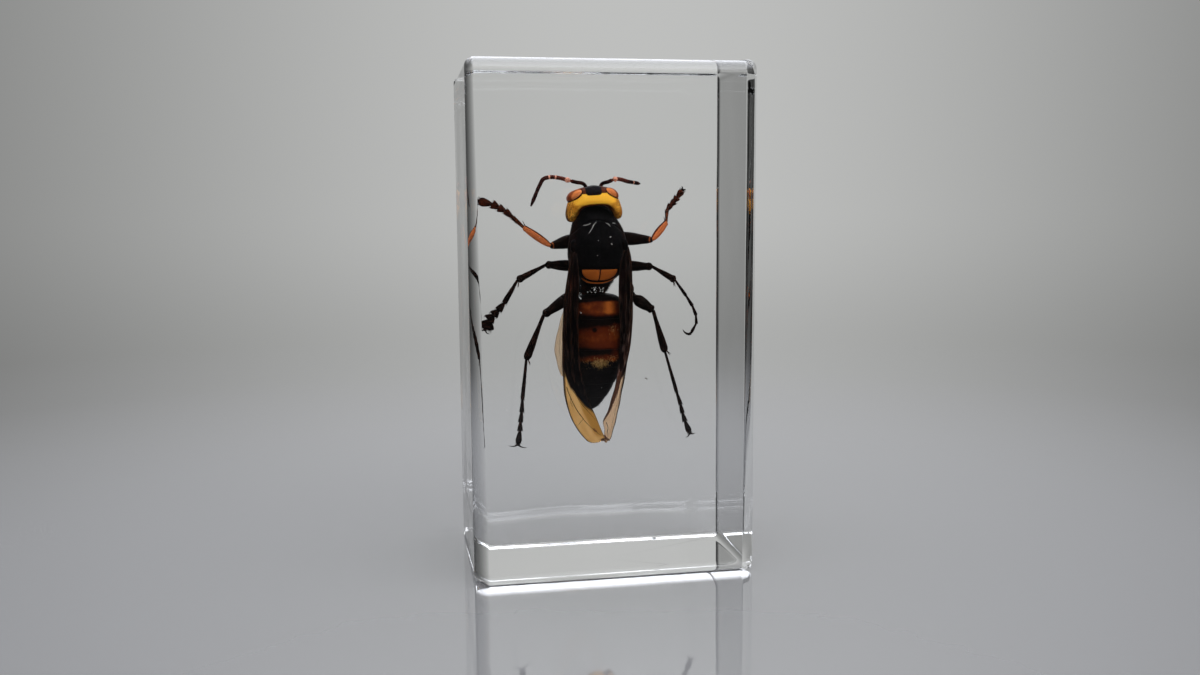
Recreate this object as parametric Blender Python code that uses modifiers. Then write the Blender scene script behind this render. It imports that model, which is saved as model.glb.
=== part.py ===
"""A giant hornet cast in a clear resin block that stands upright.

Run with: blender --background --python part.py
Units are metres, +Z is up, and the insect's back faces -Y. The origin is the centre of the block's base.
The insect's measures are written in units of INSECT_UNIT and in a place of their own. metres() turns them
into metres, and set_in_block() moves them into the block.
"""
import math

import bmesh
import bpy
from mathutils import Vector

MM = 0.001

# The block
BLOCK_WIDTH = 41.0 * MM
BLOCK_DEPTH = 30.5 * MM
BLOCK_HEIGHT = 74.4 * MM
EDGE_ROUNDING = 1.1 * MM
ROUNDING_SEGMENTS = 3
PARTING_GAP = 0.3 * MM

# The insect's size and place in the block; the halves part where its own y is 0
INSECT_UNIT = 1.035 * MM
INSECT_SHIFT = (0.65 * MM, 2.0 * MM, -1.11 * MM)
PARTING_Y = INSECT_SHIFT[1]

# The pocket, as lowest and highest corners in the insect's measures
LIMB_POCKET = ((-19.2, -1.7, 16.8), (15.2, 7.6, 59.0))
LIMB_POCKET_ROUNDING = 1.5 * MM
BODY_POCKET = ((-8.8, -5.9, 16.8), (5.6, 7.6, 59.0))
BODY_POCKET_ROUNDING = 4.0 * MM

# Colours
RESIN_CLEAR = (0.92, 0.95, 0.97)
AMBER = (0.62, 0.27, 0.03)
BROWN_BLACK = (0.022, 0.012, 0.008)
RED_BROWN = (0.13, 0.035, 0.012)
WING_AMBER = (0.42, 0.22, 0.08)
TIBIA_ORANGE = (0.38, 0.11, 0.03)

# Rings of a body, front to rear: height, centre x, centre y, half width, half thickness
HEAD_RINGS = (
    (56.15, -1.70, 0.70, 1.30, 2.20),
    (55.50, -1.70, 0.60, 2.80, 3.30),
    (54.00, -1.70, 0.50, 3.90, 3.80),
    (52.40, -1.65, 0.30, 4.15, 3.60),
    (51.10, -1.60, 0.10, 3.70, 2.90),
)
THORAX_RINGS = (
    (52.70, -1.50, -0.60, 1.10, 1.30),
    (51.90, -1.45, -0.60, 2.30, 2.40),
    (50.70, -1.30, -0.50, 3.25, 3.10),
    (49.00, -1.20, -0.40, 4.25, 3.80),
    (46.80, -1.10, -0.35, 4.60, 4.00),
    (44.40, -1.00, -0.30, 4.35, 3.80),
    (42.50, -1.10, -0.10, 3.20, 3.10),
    (41.15, -1.30, 0.00, 1.20, 1.30),
)
RING_SIDES = 8
# Subdivision pulls a ring of eight points in to this share of its radius
SUBDIVIDED_SHARE = 2.0 / 3.0 + math.cos(2.0 * math.pi / RING_SIDES) / 3.0
BODY_LEVELS = 2

# Rounded lumps: centre and half sizes
EYES = {
    "left_eye": ((-4.30, 0.60, 54.50), (1.35, 3.20, 1.45)),
    "right_eye": ((0.90, 0.60, 54.50), (1.35, 3.20, 1.45)),
}
MOUTH_PARTS = {
    "clypeus": ((-1.70, 2.80, 55.40), (1.90, 1.60, 0.95)),
    "left_mandible": ((-2.90, 4.70, 54.40), (1.25, 1.50, 0.80)),
    "right_mandible": ((-0.50, 4.70, 54.40), (1.25, 1.50, 0.80)),
}
THORAX_LUMPS = {
    "left_scutellum": ((-2.15, -3.55, 43.50), (1.35, 0.85, 0.95)),
    "right_scutellum": ((0.15, -3.55, 43.50), (1.35, 0.85, 0.95)),
    "postscutellum": ((-1.05, -3.10, 42.55), (1.90, 0.60, 0.45)),
    "left_tegula": ((-4.75, -2.10, 47.60), (0.75, 0.85, 1.00)),
    "right_tegula": ((2.65, -2.10, 47.60), (0.75, 0.85, 1.00)),
}
NAPE_HOLLOW = ((-1.50, -0.60, 50.90), (3.30, 4.30, 2.40))
LUMP_SEGMENTS = 16
LUMP_RINGS = 8

# The abdomen, and its tergites front to rear: rear height, rear half width, half width at the middle
ABDOMEN_FRONT = (-1.35, 0.0, 40.75)
ABDOMEN_TIP = (-2.25, 1.2, 23.5)
ABDOMEN_WAIST = 1.00
WAIST_ROUNDING = 0.35
FIRST_SHOULDER = 2.40
TERGITES = (
    (37.10, 4.35, 3.95),
    (32.60, 4.50, 4.55),
    (29.90, 4.10, 4.45),
    (27.50, 3.30, 3.80),
    (25.40, 2.15, 2.85),
    (23.90, 0.90, 1.60),
)
TERGITE_LEDGE = 0.25
LEDGE_DROP = 0.12
ABDOMEN_FLATNESS = 0.86
ABDOMEN_STEPS = 24

# Limbs: places of the joints, from the body outwards
ANTENNAE = {
    "left_antenna": (
        (-2.95, 0.95, 56.45), (-4.30, 0.45, 56.70), (-5.50, 0.20, 57.00), (-6.70, 0.00, 57.30),
        (-8.10, -0.20, 57.40), (-9.00, -0.30, 57.15), (-9.55, -0.40, 56.30), (-10.20, -0.50, 54.90),
        (-10.90, -0.60, 53.30),
    ),
    "right_antenna": (
        (-0.55, 0.95, 56.45), (0.50, 0.60, 56.75), (1.40, 0.40, 57.10), (2.30, 1.20, 57.10),
        (3.60, 2.40, 56.80), (4.70, 3.30, 56.65), (5.70, 4.20, 56.50),
    ),
}
ANTENNA_RADII = (0.26, 0.30, 0.34, 0.27, 0.28, 0.28, 0.27, 0.25, 0.18)

# Legs: coxa, trochanter, knee, ankle, then the ends of the five foot segments
LEG_JOINTS = {
    "left_fore_leg": (
        (-2.60, 4.60, 49.30), (-3.60, 4.20, 48.50), (-8.00, 0.90, 47.60), (-11.80, 1.80, 50.30),
        (-13.30, 2.30, 51.70), (-14.30, 2.60, 52.60), (-15.20, 2.80, 53.10), (-16.10, 3.00, 53.60),
        (-18.10, 3.20, 54.10),
    ),
    "right_fore_leg": (
        (0.30, 4.60, 49.30), (1.40, 4.20, 48.60), (7.00, 0.70, 48.30), (9.50, 3.20, 50.80),
        (9.80, 4.60, 52.50), (10.40, 5.10, 53.30), (11.00, 5.50, 53.80), (11.50, 5.80, 54.40),
        (12.40, 6.20, 55.50),
    ),
    "left_mid_leg": (
        (-2.40, 4.80, 45.60), (-3.40, 4.50, 44.50), (-8.70, 0.80, 44.90), (-12.80, 1.80, 42.70),
        (-14.70, 2.60, 39.40), (-15.50, 2.90, 38.40), (-16.20, 3.10, 37.70), (-16.90, 3.20, 37.00),
        (-17.50, 3.40, 35.60),
    ),
    "right_mid_leg": (
        (0.20, 4.80, 45.60), (1.30, 4.50, 44.50), (7.00, 0.80, 44.40), (10.60, 1.80, 42.30),
        (12.40, 2.60, 39.90), (13.40, 2.90, 38.40), (14.00, 3.10, 37.00), (14.10, 3.20, 35.70),
        (13.30, 3.40, 34.20),
    ),
    "left_hind_leg": (
        (-2.30, 4.50, 42.40), (-3.40, 4.10, 41.10), (-9.10, 1.40, 37.60), (-11.70, 2.00, 31.10),
        (-12.30, 2.80, 25.10), (-12.40, 3.00, 23.30), (-12.60, 3.10, 21.80), (-12.70, 3.20, 20.50),
        (-13.00, 3.40, 18.40),
    ),
    "right_hind_leg": (
        (0.10, 4.50, 42.40), (1.20, 4.10, 41.10), (7.20, 1.40, 37.90), (9.10, 2.00, 31.60),
        (11.00, 2.80, 25.30), (11.60, 3.00, 23.50), (11.90, 3.10, 22.20), (12.30, 3.20, 20.90),
        (13.10, 3.40, 19.00),
    ),
}
# Radii of a leg by its pair: coxa, femur, tibia, foot
LEG_RADII = {"fore": (0.80, 0.66, 0.52, 0.36), "mid": (0.85, 0.66, 0.52, 0.34), "hind": (0.85, 0.72, 0.56, 0.34)}
JOINT_ROUNDING = 0.45
LIMB_SIDES_RESOLUTION = 2

# Wings, base to tip: the leading edge and the trailing edge, each as x, y, z
FOREWINGS = {
    "left_forewing": (
        ((-5.75, -1.30, 46.20), (-5.10, -3.00, 46.20)),
        ((-5.95, -0.90, 43.00), (-4.60, -3.40, 43.00)),
        ((-6.35, -0.70, 37.40), (-4.60, -3.30, 37.40)),
        ((-6.55, -0.70, 33.00), (-4.50, -3.40, 33.00)),
        ((-6.45, -0.50, 29.00), (-4.10, -3.05, 29.00)),
        ((-6.20, -0.31, 25.80), (-3.10, -2.36, 25.80)),
        ((-5.30, -0.15, 22.50), (-1.80, -1.35, 22.50)),
        ((-3.70, 0.00, 19.90), (-0.95, -0.60, 19.90)),
        ((-1.90, 0.00, 18.50), (-0.75, -0.29, 18.75)),
    ),
    "right_forewing": (
        ((3.65, -1.30, 46.20), (2.95, -3.00, 46.20)),
        ((3.75, -0.90, 43.00), (2.40, -3.40, 43.00)),
        ((3.90, -0.60, 38.00), (2.20, -3.10, 38.00)),
        ((3.60, -0.60, 34.00), (2.10, -3.00, 34.00)),
        ((2.75, -0.45, 29.50), (1.30, -2.55, 29.50)),
        ((1.95, -0.11, 25.00), (0.05, -1.46, 25.00)),
        ((1.25, 0.27, 21.60), (-0.70, -0.33, 21.60)),
        ((0.60, 0.54, 19.60), (-0.55, 0.24, 19.60)),
        ((0.00, 0.71, 18.40), (-0.40, 0.57, 18.70)),
    ),
}
HINDWINGS = {
    "left_hindwing": (
        ((-6.15, 0.75, 43.30), (-6.10, -0.15, 43.30)),
        ((-6.25, 0.80, 41.00), (-6.10, -0.10, 41.00)),
        ((-6.60, 0.85, 38.00), (-6.35, -0.05, 38.00)),
        ((-7.15, 0.85, 35.50), (-6.45, -0.05, 35.50)),
        ((-7.70, 0.80, 33.30), (-6.50, 0.00, 33.30)),
        ((-7.35, 0.75, 31.00), (-6.40, 0.05, 31.00)),
        ((-6.90, 0.65, 29.00), (-6.25, 0.05, 29.00)),
    ),
    "right_hindwing": (
        ((4.05, 0.75, 43.30), (4.00, -0.15, 43.30)),
        ((4.00, 0.80, 41.00), (3.85, -0.10, 41.00)),
        ((3.95, 0.85, 38.00), (3.60, -0.05, 38.00)),
        ((3.75, 0.85, 35.50), (3.35, -0.05, 35.50)),
        ((3.45, 0.80, 33.30), (3.15, 0.00, 33.30)),
        ((3.00, 0.75, 31.00), (2.70, 0.05, 31.00)),
        ((2.50, 0.65, 29.00), (2.25, 0.05, 29.00)),
    ),
}
WING_BULGE = 0.35
WING_THICKNESS = 0.24 * MM
WING_LEVELS = 1


def metres(point):
    """A place or size in the insect's measures as a vector in metres."""
    return Vector(point) * INSECT_UNIT


def clear_scene():
    for obj in list(bpy.data.objects):
        bpy.data.objects.remove(obj, do_unlink=True)


def new_collection(name):
    collection = bpy.data.collections.new(name)
    bpy.context.scene.collection.children.link(collection)
    return collection


def new_material(name, colour, roughness, alpha=1.0):
    material = bpy.data.materials.new(name)
    material.use_nodes = True
    shader = material.node_tree.nodes["Principled BSDF"]
    shader.inputs["Base Color"].default_value = (*colour, 1.0)
    shader.inputs["Roughness"].default_value = roughness
    shader.inputs["Metallic"].default_value = 0.0
    shader.inputs["Alpha"].default_value = alpha
    material.diffuse_color = (*colour, alpha)
    return material


def add_object(name, mesh, collection, material=None):
    """Put a mesh in the collection as an object, smooth shaded, with its own material."""
    obj = bpy.data.objects.new(name, mesh)
    collection.objects.link(obj)
    if material:
        mesh.materials.append(material)
    mesh.shade_smooth()
    return obj


def mark_as_cutter(obj):
    obj.hide_render = True
    obj.display_type = "WIRE"
    return obj


def set_in_block(obj):
    """Move an object from the insect's own place to its place in the block."""
    obj.location += Vector(INSECT_SHIFT)


def box_mesh(name, low, high):
    """A box between two corners."""
    low = Vector(low)
    high = Vector(high)
    mesh = bpy.data.meshes.new(name)
    shape = bmesh.new()
    bmesh.ops.create_cube(shape, size=1.0)
    bmesh.ops.scale(shape, vec=high - low, verts=shape.verts)
    bmesh.ops.translate(shape, vec=(low + high) / 2.0, verts=shape.verts)
    shape.to_mesh(mesh)
    shape.free()
    return mesh


def add_bevel(obj, width, segments):
    bevel = obj.modifiers.new("rounded edges", "BEVEL")
    bevel.width = width
    bevel.segments = segments
    bevel.limit_method = "NONE"


def add_boolean(obj, other, operation):
    boolean = obj.modifiers.new(operation.lower() + " " + other.name, "BOOLEAN")
    boolean.operation = operation
    boolean.solver = "EXACT"
    boolean.object = other


def add_subdivision(obj, levels):
    subdivision = obj.modifiers.new("soft form", "SUBSURF")
    subdivision.levels = levels
    subdivision.render_levels = levels


def rounded_cutter(name, corners, rounding, collection):
    """A box with rounded edges that takes the pocket out of the block."""
    low, high = corners
    obj = add_object(name, box_mesh(name, metres(low), metres(high)), collection)
    add_bevel(obj, rounding, ROUNDING_SEGMENTS - 1)
    return mark_as_cutter(obj)


def lump(name, centre, half_sizes, collection):
    """A stretched sphere, to be joined to a body or cut from it."""
    mesh = bpy.data.meshes.new(name)
    shape = bmesh.new()
    bmesh.ops.create_uvsphere(shape, u_segments=LUMP_SEGMENTS, v_segments=LUMP_RINGS, radius=1.0)
    bmesh.ops.scale(shape, vec=metres(half_sizes), verts=shape.verts)
    bmesh.ops.translate(shape, vec=metres(centre), verts=shape.verts)
    shape.to_mesh(mesh)
    shape.free()
    return mark_as_cutter(add_object(name, mesh, collection))


def ring_body(name, rings, collection, material):
    """A closed cage of oval rings, made a soft form by subdivision."""
    mesh = bpy.data.meshes.new(name)
    shape = bmesh.new()
    loops = []
    for height, centre_x, centre_y, half_width, half_thickness in rings:
        loop = []
        for side in range(RING_SIDES):
            angle = 2.0 * math.pi * side / RING_SIDES
            x = centre_x + half_width / SUBDIVIDED_SHARE * math.cos(angle)
            y = centre_y + half_thickness / SUBDIVIDED_SHARE * math.sin(angle)
            loop.append(shape.verts.new(metres((x, y, height))))
        loops.append(loop)
    for upper, lower in zip(loops, loops[1:]):
        for side in range(RING_SIDES):
            after = (side + 1) % RING_SIDES
            shape.faces.new((upper[side], lower[side], lower[after], upper[after]))
    shape.faces.new(loops[0])
    shape.faces.new(list(reversed(loops[-1])))
    bmesh.ops.recalc_face_normals(shape, faces=shape.faces)
    shape.to_mesh(mesh)
    shape.free()
    obj = add_object(name, mesh, collection, material)
    add_subdivision(obj, BODY_LEVELS)
    return obj


def build_resin(parts, cutters):
    """The block's two halves, parted at PARTING_Y, with the pocket between them."""
    half_width = BLOCK_WIDTH / 2.0
    half_depth = BLOCK_DEPTH / 2.0
    limb_pocket = rounded_cutter("limb_pocket", LIMB_POCKET, LIMB_POCKET_ROUNDING, cutters)
    body_pocket = rounded_cutter("body_pocket", BODY_POCKET, BODY_POCKET_ROUNDING, cutters)
    set_in_block(limb_pocket)
    set_in_block(body_pocket)
    for name, facing in (("resin_front", -1.0), ("resin_back", 1.0)):
        low = (-half_width, -half_depth, 0.0)
        high = (half_width, half_depth, BLOCK_HEIGHT)
        paint = new_material(name, RESIN_CLEAR, 0.05, alpha=0.35)
        half = add_object(name, box_mesh(name, low, high), parts, paint)
        add_bevel(half, EDGE_ROUNDING, ROUNDING_SEGMENTS)
        near = PARTING_Y + facing * PARTING_GAP / 2.0
        far = PARTING_Y - facing * BLOCK_DEPTH
        other_low = (-BLOCK_WIDTH, min(near, far), -BLOCK_HEIGHT)
        other_high = (BLOCK_WIDTH, max(near, far), 2.0 * BLOCK_HEIGHT)
        other_side = add_object("beyond_" + name, box_mesh("beyond_" + name, other_low, other_high), cutters)
        mark_as_cutter(other_side)
        add_boolean(half, other_side, "DIFFERENCE")
        add_boolean(half, limb_pocket, "DIFFERENCE")
        add_boolean(half, body_pocket, "DIFFERENCE")


def build_head(parts, cutters):
    head = ring_body("head", HEAD_RINGS, parts, new_material("head", AMBER, 0.35))
    for name, (centre, half_sizes) in (EYES | MOUTH_PARTS).items():
        add_boolean(head, lump(name, centre, half_sizes, cutters), "UNION")
    add_boolean(head, lump("nape_hollow", *NAPE_HOLLOW, cutters), "DIFFERENCE")


def build_thorax(parts, cutters):
    thorax = ring_body("thorax", THORAX_RINGS, parts, new_material("thorax", BROWN_BLACK, 0.3))
    for name, (centre, half_sizes) in THORAX_LUMPS.items():
        add_boolean(thorax, lump(name, centre, half_sizes, cutters), "UNION")


def abdomen_profile():
    """Radius and height down the side: each tergite steps out from under the rear edge of the one before."""
    height = ABDOMEN_FRONT[2]
    points = [(0.0, height), (ABDOMEN_WAIST, height)]
    height -= WAIST_ROUNDING
    radius = FIRST_SHOULDER
    for rear_height, rear_radius, middle_radius in TERGITES:
        points.append((radius, height - LEDGE_DROP))
        points.append((middle_radius, (height + rear_height) / 2.0))
        points.append((rear_radius, rear_height))
        height = rear_height
        radius = rear_radius - TERGITE_LEDGE
    points.append((0.0, ABDOMEN_TIP[2]))
    return points


def build_abdomen(parts):
    """A turned profile, flattened from back to belly and leaning as the insect does."""
    mesh = bpy.data.meshes.new("abdomen")
    shape = bmesh.new()
    front_height = ABDOMEN_FRONT[2]
    corners = [shape.verts.new(metres((radius, 0.0, height - front_height))) for radius, height in abdomen_profile()]
    for upper, lower in zip(corners, corners[1:]):
        shape.edges.new((upper, lower))
    shape.to_mesh(mesh)
    shape.free()
    obj = add_object("abdomen", mesh, parts, new_material("abdomen", RED_BROWN, 0.3))
    screw = obj.modifiers.new("turned", "SCREW")
    screw.steps = ABDOMEN_STEPS
    screw.render_steps = ABDOMEN_STEPS
    screw.use_merge_vertices = True
    screw.merge_threshold = 0.01 * MM
    obj.location = metres(ABDOMEN_FRONT)
    obj.scale = (1.0, ABDOMEN_FLATNESS, 1.0)
    sideways = ABDOMEN_FRONT[0] - ABDOMEN_TIP[0]
    deeper = ABDOMEN_TIP[1] - ABDOMEN_FRONT[1]
    length = ABDOMEN_FRONT[2] - ABDOMEN_TIP[2]
    obj.rotation_euler = (math.atan2(deeper, length), math.atan2(sideways, length), 0.0)


def tube(name, route, collection, material):
    """A limb: a curve through the route's points, each with its own radius in the insect's measures."""
    curve = bpy.data.curves.new(name, "CURVE")
    curve.dimensions = "3D"
    curve.bevel_depth = INSECT_UNIT
    curve.bevel_resolution = LIMB_SIDES_RESOLUTION
    curve.use_fill_caps = True
    spline = curve.splines.new("POLY")
    spline.points.add(len(route) - 1)
    spline.use_smooth = True
    for spot, (point, radius) in zip(spline.points, route):
        spot.co = (*metres(point), 1.0)
        spot.radius = radius
    curve.materials.append(material)
    obj = bpy.data.objects.new(name, curve)
    collection.objects.link(obj)
    return obj


def link_points(start, end, shares):
    """Points from start to end: each share of the way has its radius."""
    start = Vector(start)
    end = Vector(end)
    length = (end - start).length
    trim = min(0.35, JOINT_ROUNDING / length)
    return [(start.lerp(end, min(max(share, trim), 1.0 - trim)), radius) for share, radius in shares]


def leg_route(joints, radii):
    """The leg's points with radii: swollen coxa and femur, slim knee, flared foot segments."""
    coxa, femur, tibia, foot = radii
    route = [(Vector(joints[0]), coxa * 0.8)]
    route += link_points(joints[0], joints[1], ((0.45, coxa), (1.0, coxa * 0.7)))
    route += link_points(joints[1], joints[2], ((0.0, femur * 0.7), (0.35, femur), (0.75, femur * 0.85),
                                                (1.0, femur * 0.72)))
    route += link_points(joints[2], joints[3], ((0.0, tibia * 0.75), (0.4, tibia * 0.95), (0.85, tibia),
                                                (1.0, tibia * 0.9)))
    for start, end in zip(joints[3:], joints[4:]):
        route += link_points(start, end, ((0.0, foot * 0.65), (1.0, foot)))
    route.append((Vector(joints[-1]), foot * 0.6))
    return route


def build_limbs(parts):
    for name, points in ANTENNAE.items():
        route = [(point, radius) for point, radius in zip(points, ANTENNA_RADII)]
        tube(name, route, parts, new_material(name, BROWN_BLACK, 0.4))
    for name, joints in LEG_JOINTS.items():
        pair = name.split("_")[1]
        colour = TIBIA_ORANGE if pair == "fore" else BROWN_BLACK
        tube(name, leg_route(joints, LEG_RADII[pair]), parts, new_material(name, colour, 0.35))


def build_wing(name, rows, collection):
    """A curved sheet between the leading and the trailing edge, given its thickness."""
    mesh = bpy.data.meshes.new(name)
    shape = bmesh.new()
    lines = []
    for leading, trailing in rows:
        leading = Vector(leading)
        trailing = Vector(trailing)
        middle = (leading + trailing) / 2.0
        across = trailing - leading
        outwards = Vector((across.y, -across.x, 0.0)).normalized()
        if outwards.y > 0.0:
            outwards.negate()
        middle += outwards * WING_BULGE * min(1.0, across.length / 2.0)
        lines.append([shape.verts.new(metres(point)) for point in (leading, middle, trailing)])
    for upper, lower in zip(lines, lines[1:]):
        for near in (0, 1):
            shape.faces.new((upper[near], upper[near + 1], lower[near + 1], lower[near]))
    shape.to_mesh(mesh)
    shape.free()
    obj = add_object(name, mesh, collection, new_material(name, WING_AMBER, 0.25, alpha=0.6))
    add_subdivision(obj, WING_LEVELS)
    thickness = obj.modifiers.new("thickness", "SOLIDIFY")
    thickness.thickness = WING_THICKNESS
    thickness.offset = 0.0
    return obj


def build():
    clear_scene()
    parts = new_collection("giant_hornet_in_resin_block")
    cutters = new_collection("cutters")
    build_head(parts, cutters)
    build_thorax(parts, cutters)
    build_abdomen(parts)
    build_limbs(parts)
    for name, rows in (FOREWINGS | HINDWINGS).items():
        build_wing(name, rows, parts)
    for obj in list(parts.objects) + list(cutters.objects):
        set_in_block(obj)
    build_resin(parts, cutters)


build()
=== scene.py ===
"""Looks of a giant hornet cast in a clear resin block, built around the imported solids.

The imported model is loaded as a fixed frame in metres: +Z is up and the insect's back faces -Y. The block
and the studio are worked out in millimetres of that frame, and the insect in the measures of its solids'
source, in a place of its own. A Place turns either into metres of the frame when a mesh is made.
"""
import logging
import math
from abc import ABC, abstractmethod
from collections.abc import Callable, Mapping, Sequence
from dataclasses import dataclass, field
from enum import Enum
from functools import cache

import bpy
import numpy as np
from mathutils import Matrix, Vector


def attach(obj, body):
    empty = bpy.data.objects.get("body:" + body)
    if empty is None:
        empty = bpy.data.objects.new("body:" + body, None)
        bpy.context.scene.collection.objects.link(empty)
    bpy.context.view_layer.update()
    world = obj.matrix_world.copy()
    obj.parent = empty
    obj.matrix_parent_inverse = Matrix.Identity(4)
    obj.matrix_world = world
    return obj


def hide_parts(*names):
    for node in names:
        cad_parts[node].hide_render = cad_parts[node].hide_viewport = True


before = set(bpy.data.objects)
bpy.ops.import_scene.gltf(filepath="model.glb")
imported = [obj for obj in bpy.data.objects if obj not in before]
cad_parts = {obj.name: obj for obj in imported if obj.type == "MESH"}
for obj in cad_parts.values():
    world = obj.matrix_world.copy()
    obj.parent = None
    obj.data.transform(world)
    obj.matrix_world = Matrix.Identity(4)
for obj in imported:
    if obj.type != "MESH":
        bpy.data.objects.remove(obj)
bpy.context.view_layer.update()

MM = 0.001
BODY = "root"
LOG = logging.getLogger("hornet_block")
# Refractive indices: of the resin in air, and of what lies in it next to the resin
RESIN_IN_AIR = 1.52
CUTICLE_IN_RESIN = 1.075
MEMBRANE_IN_RESIN = 1.06
AIR_IN_RESIN = 1.2

Array = np.ndarray
Colour = Point = tuple[float, float, float]
Pair = tuple[float, float]
Knots = tuple[tuple[float, ...], ...]


@dataclass(frozen=True)
class Place:
    """Where a shape's own measures lie in the frame.

    Attributes:
        unit: Metres in one of its measures.
        shift: Its origin in the frame, in metres.
    """

    unit: float
    shift: Point = (0.0, 0.0, 0.0)

    def metres(self, points: Array) -> Array:
        """Points in the frame, in metres: the measures times the unit, plus the shift."""
        return points * self.unit + np.asarray(self.shift)


FRAME = Place(MM)
INSECT = Place(1.035 * MM, (0.65 * MM, 2.0 * MM, -1.11 * MM))


class Slot(Enum):
    """The record's material slots."""

    RESIN = "clear_resin"
    AMBER = "amber_cuticle"
    DARK = "dark_cuticle"
    BANDED = "banded_cuticle"
    ORANGE_LEG = "orange_leg_cuticle"
    WING = "wing_membrane"


class Side(Enum):
    """The insect's own left and right, as the sign of x from its middle line."""

    LEFT = -1.0
    RIGHT = 1.0


def smooth_step(low: float, high: float, value: Array) -> Array:
    """Rises from 0 at low to 1 at high with a soft start and end: 3t squared less 2t cubed.

    Args:
        low: Where the step starts.
        high: Where the step ends; it may be below low, for a step that falls.
        value: Where to read the step.

    Returns:
        The step's height at each value.
    """
    share = np.clip((np.asarray(value) - low) / (high - low), 0.0, 1.0)
    return share * share * (3.0 - 2.0 * share)


def bell(centre: float, width: float, value: Array) -> Array:
    """A bell of height 1: e to the power of minus the squared distance from its centre over its width."""
    return np.exp(-(((np.asarray(value) - centre) / width) ** 2))


def held(value: Array) -> Array:
    """Values held between 0 and 1."""
    return np.clip(value, 0.0, 1.0)


def evenly(count: int) -> Array:
    """Even steps from 0 to 1."""
    return np.linspace(0.0, 1.0, count)


def full_turn(count: int) -> Array:
    """Even steps from 0 up to a full turn, which is left out."""
    return np.linspace(0.0, 2.0 * math.pi, count, endpoint=False)


def places(*parts: Array | float) -> Array:
    """Points from their x, y and z, each spread over the others' rows and columns."""
    return np.stack(np.broadcast_arrays(*parts), axis=-1)


def through(knots: Sequence[Sequence[float]], at: Array) -> Array:
    """A smooth curve through knots, as cubic Hermite spans with slopes from the neighbouring knots.

    Args:
        knots: Rows of a rising place followed by one or more values.
        at: Places to read, of any shape.

    Returns:
        The values at each place, with a last axis for the values if there is more than one.
    """
    table = np.asarray(knots, float)
    place, values = table[:, 0], table[:, 1:]
    slopes = np.gradient(values, place, axis=0)
    at = np.clip(np.asarray(at, float), place[0], place[-1])
    span = np.clip(np.searchsorted(place, at, side="right") - 1, 0, len(place) - 2)
    width = place[span + 1] - place[span]
    t = ((at - place[span]) / width)[..., None]
    rise_start, rise_end = (slopes[span + end] * width[..., None] for end in (0, 1))
    blend = (2 * t**3 - 3 * t**2 + 1) * values[span] + (t**3 - 2 * t**2 + t) * rise_start
    blend = blend + (-2 * t**3 + 3 * t**2) * values[span + 1] + (t**3 - t**2) * rise_end
    return blend[..., 0] if values.shape[1] == 1 else blend


def route(points: Sequence[Point], count: int) -> Array:
    """A smooth path through points: the same spans, read at even steps of the points' running length."""
    table = np.asarray(points, float)
    steps = np.linalg.norm(np.diff(table, axis=0), axis=1)
    length = np.concatenate([[0.0], np.cumsum(steps)])
    return through(np.column_stack([length, table]), np.linspace(0.0, length[-1], count))


def unit(vectors: Array) -> Array:
    """Vectors brought to length 1."""
    return vectors / np.maximum(np.linalg.norm(vectors, axis=-1, keepdims=True), 1e-9)


def beside(along: Array) -> Array:
    """A direction of length 1 that stands square to another one and to the y axis."""
    return unit(np.cross(along, (0.0, 1.0, 0.0)))


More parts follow.
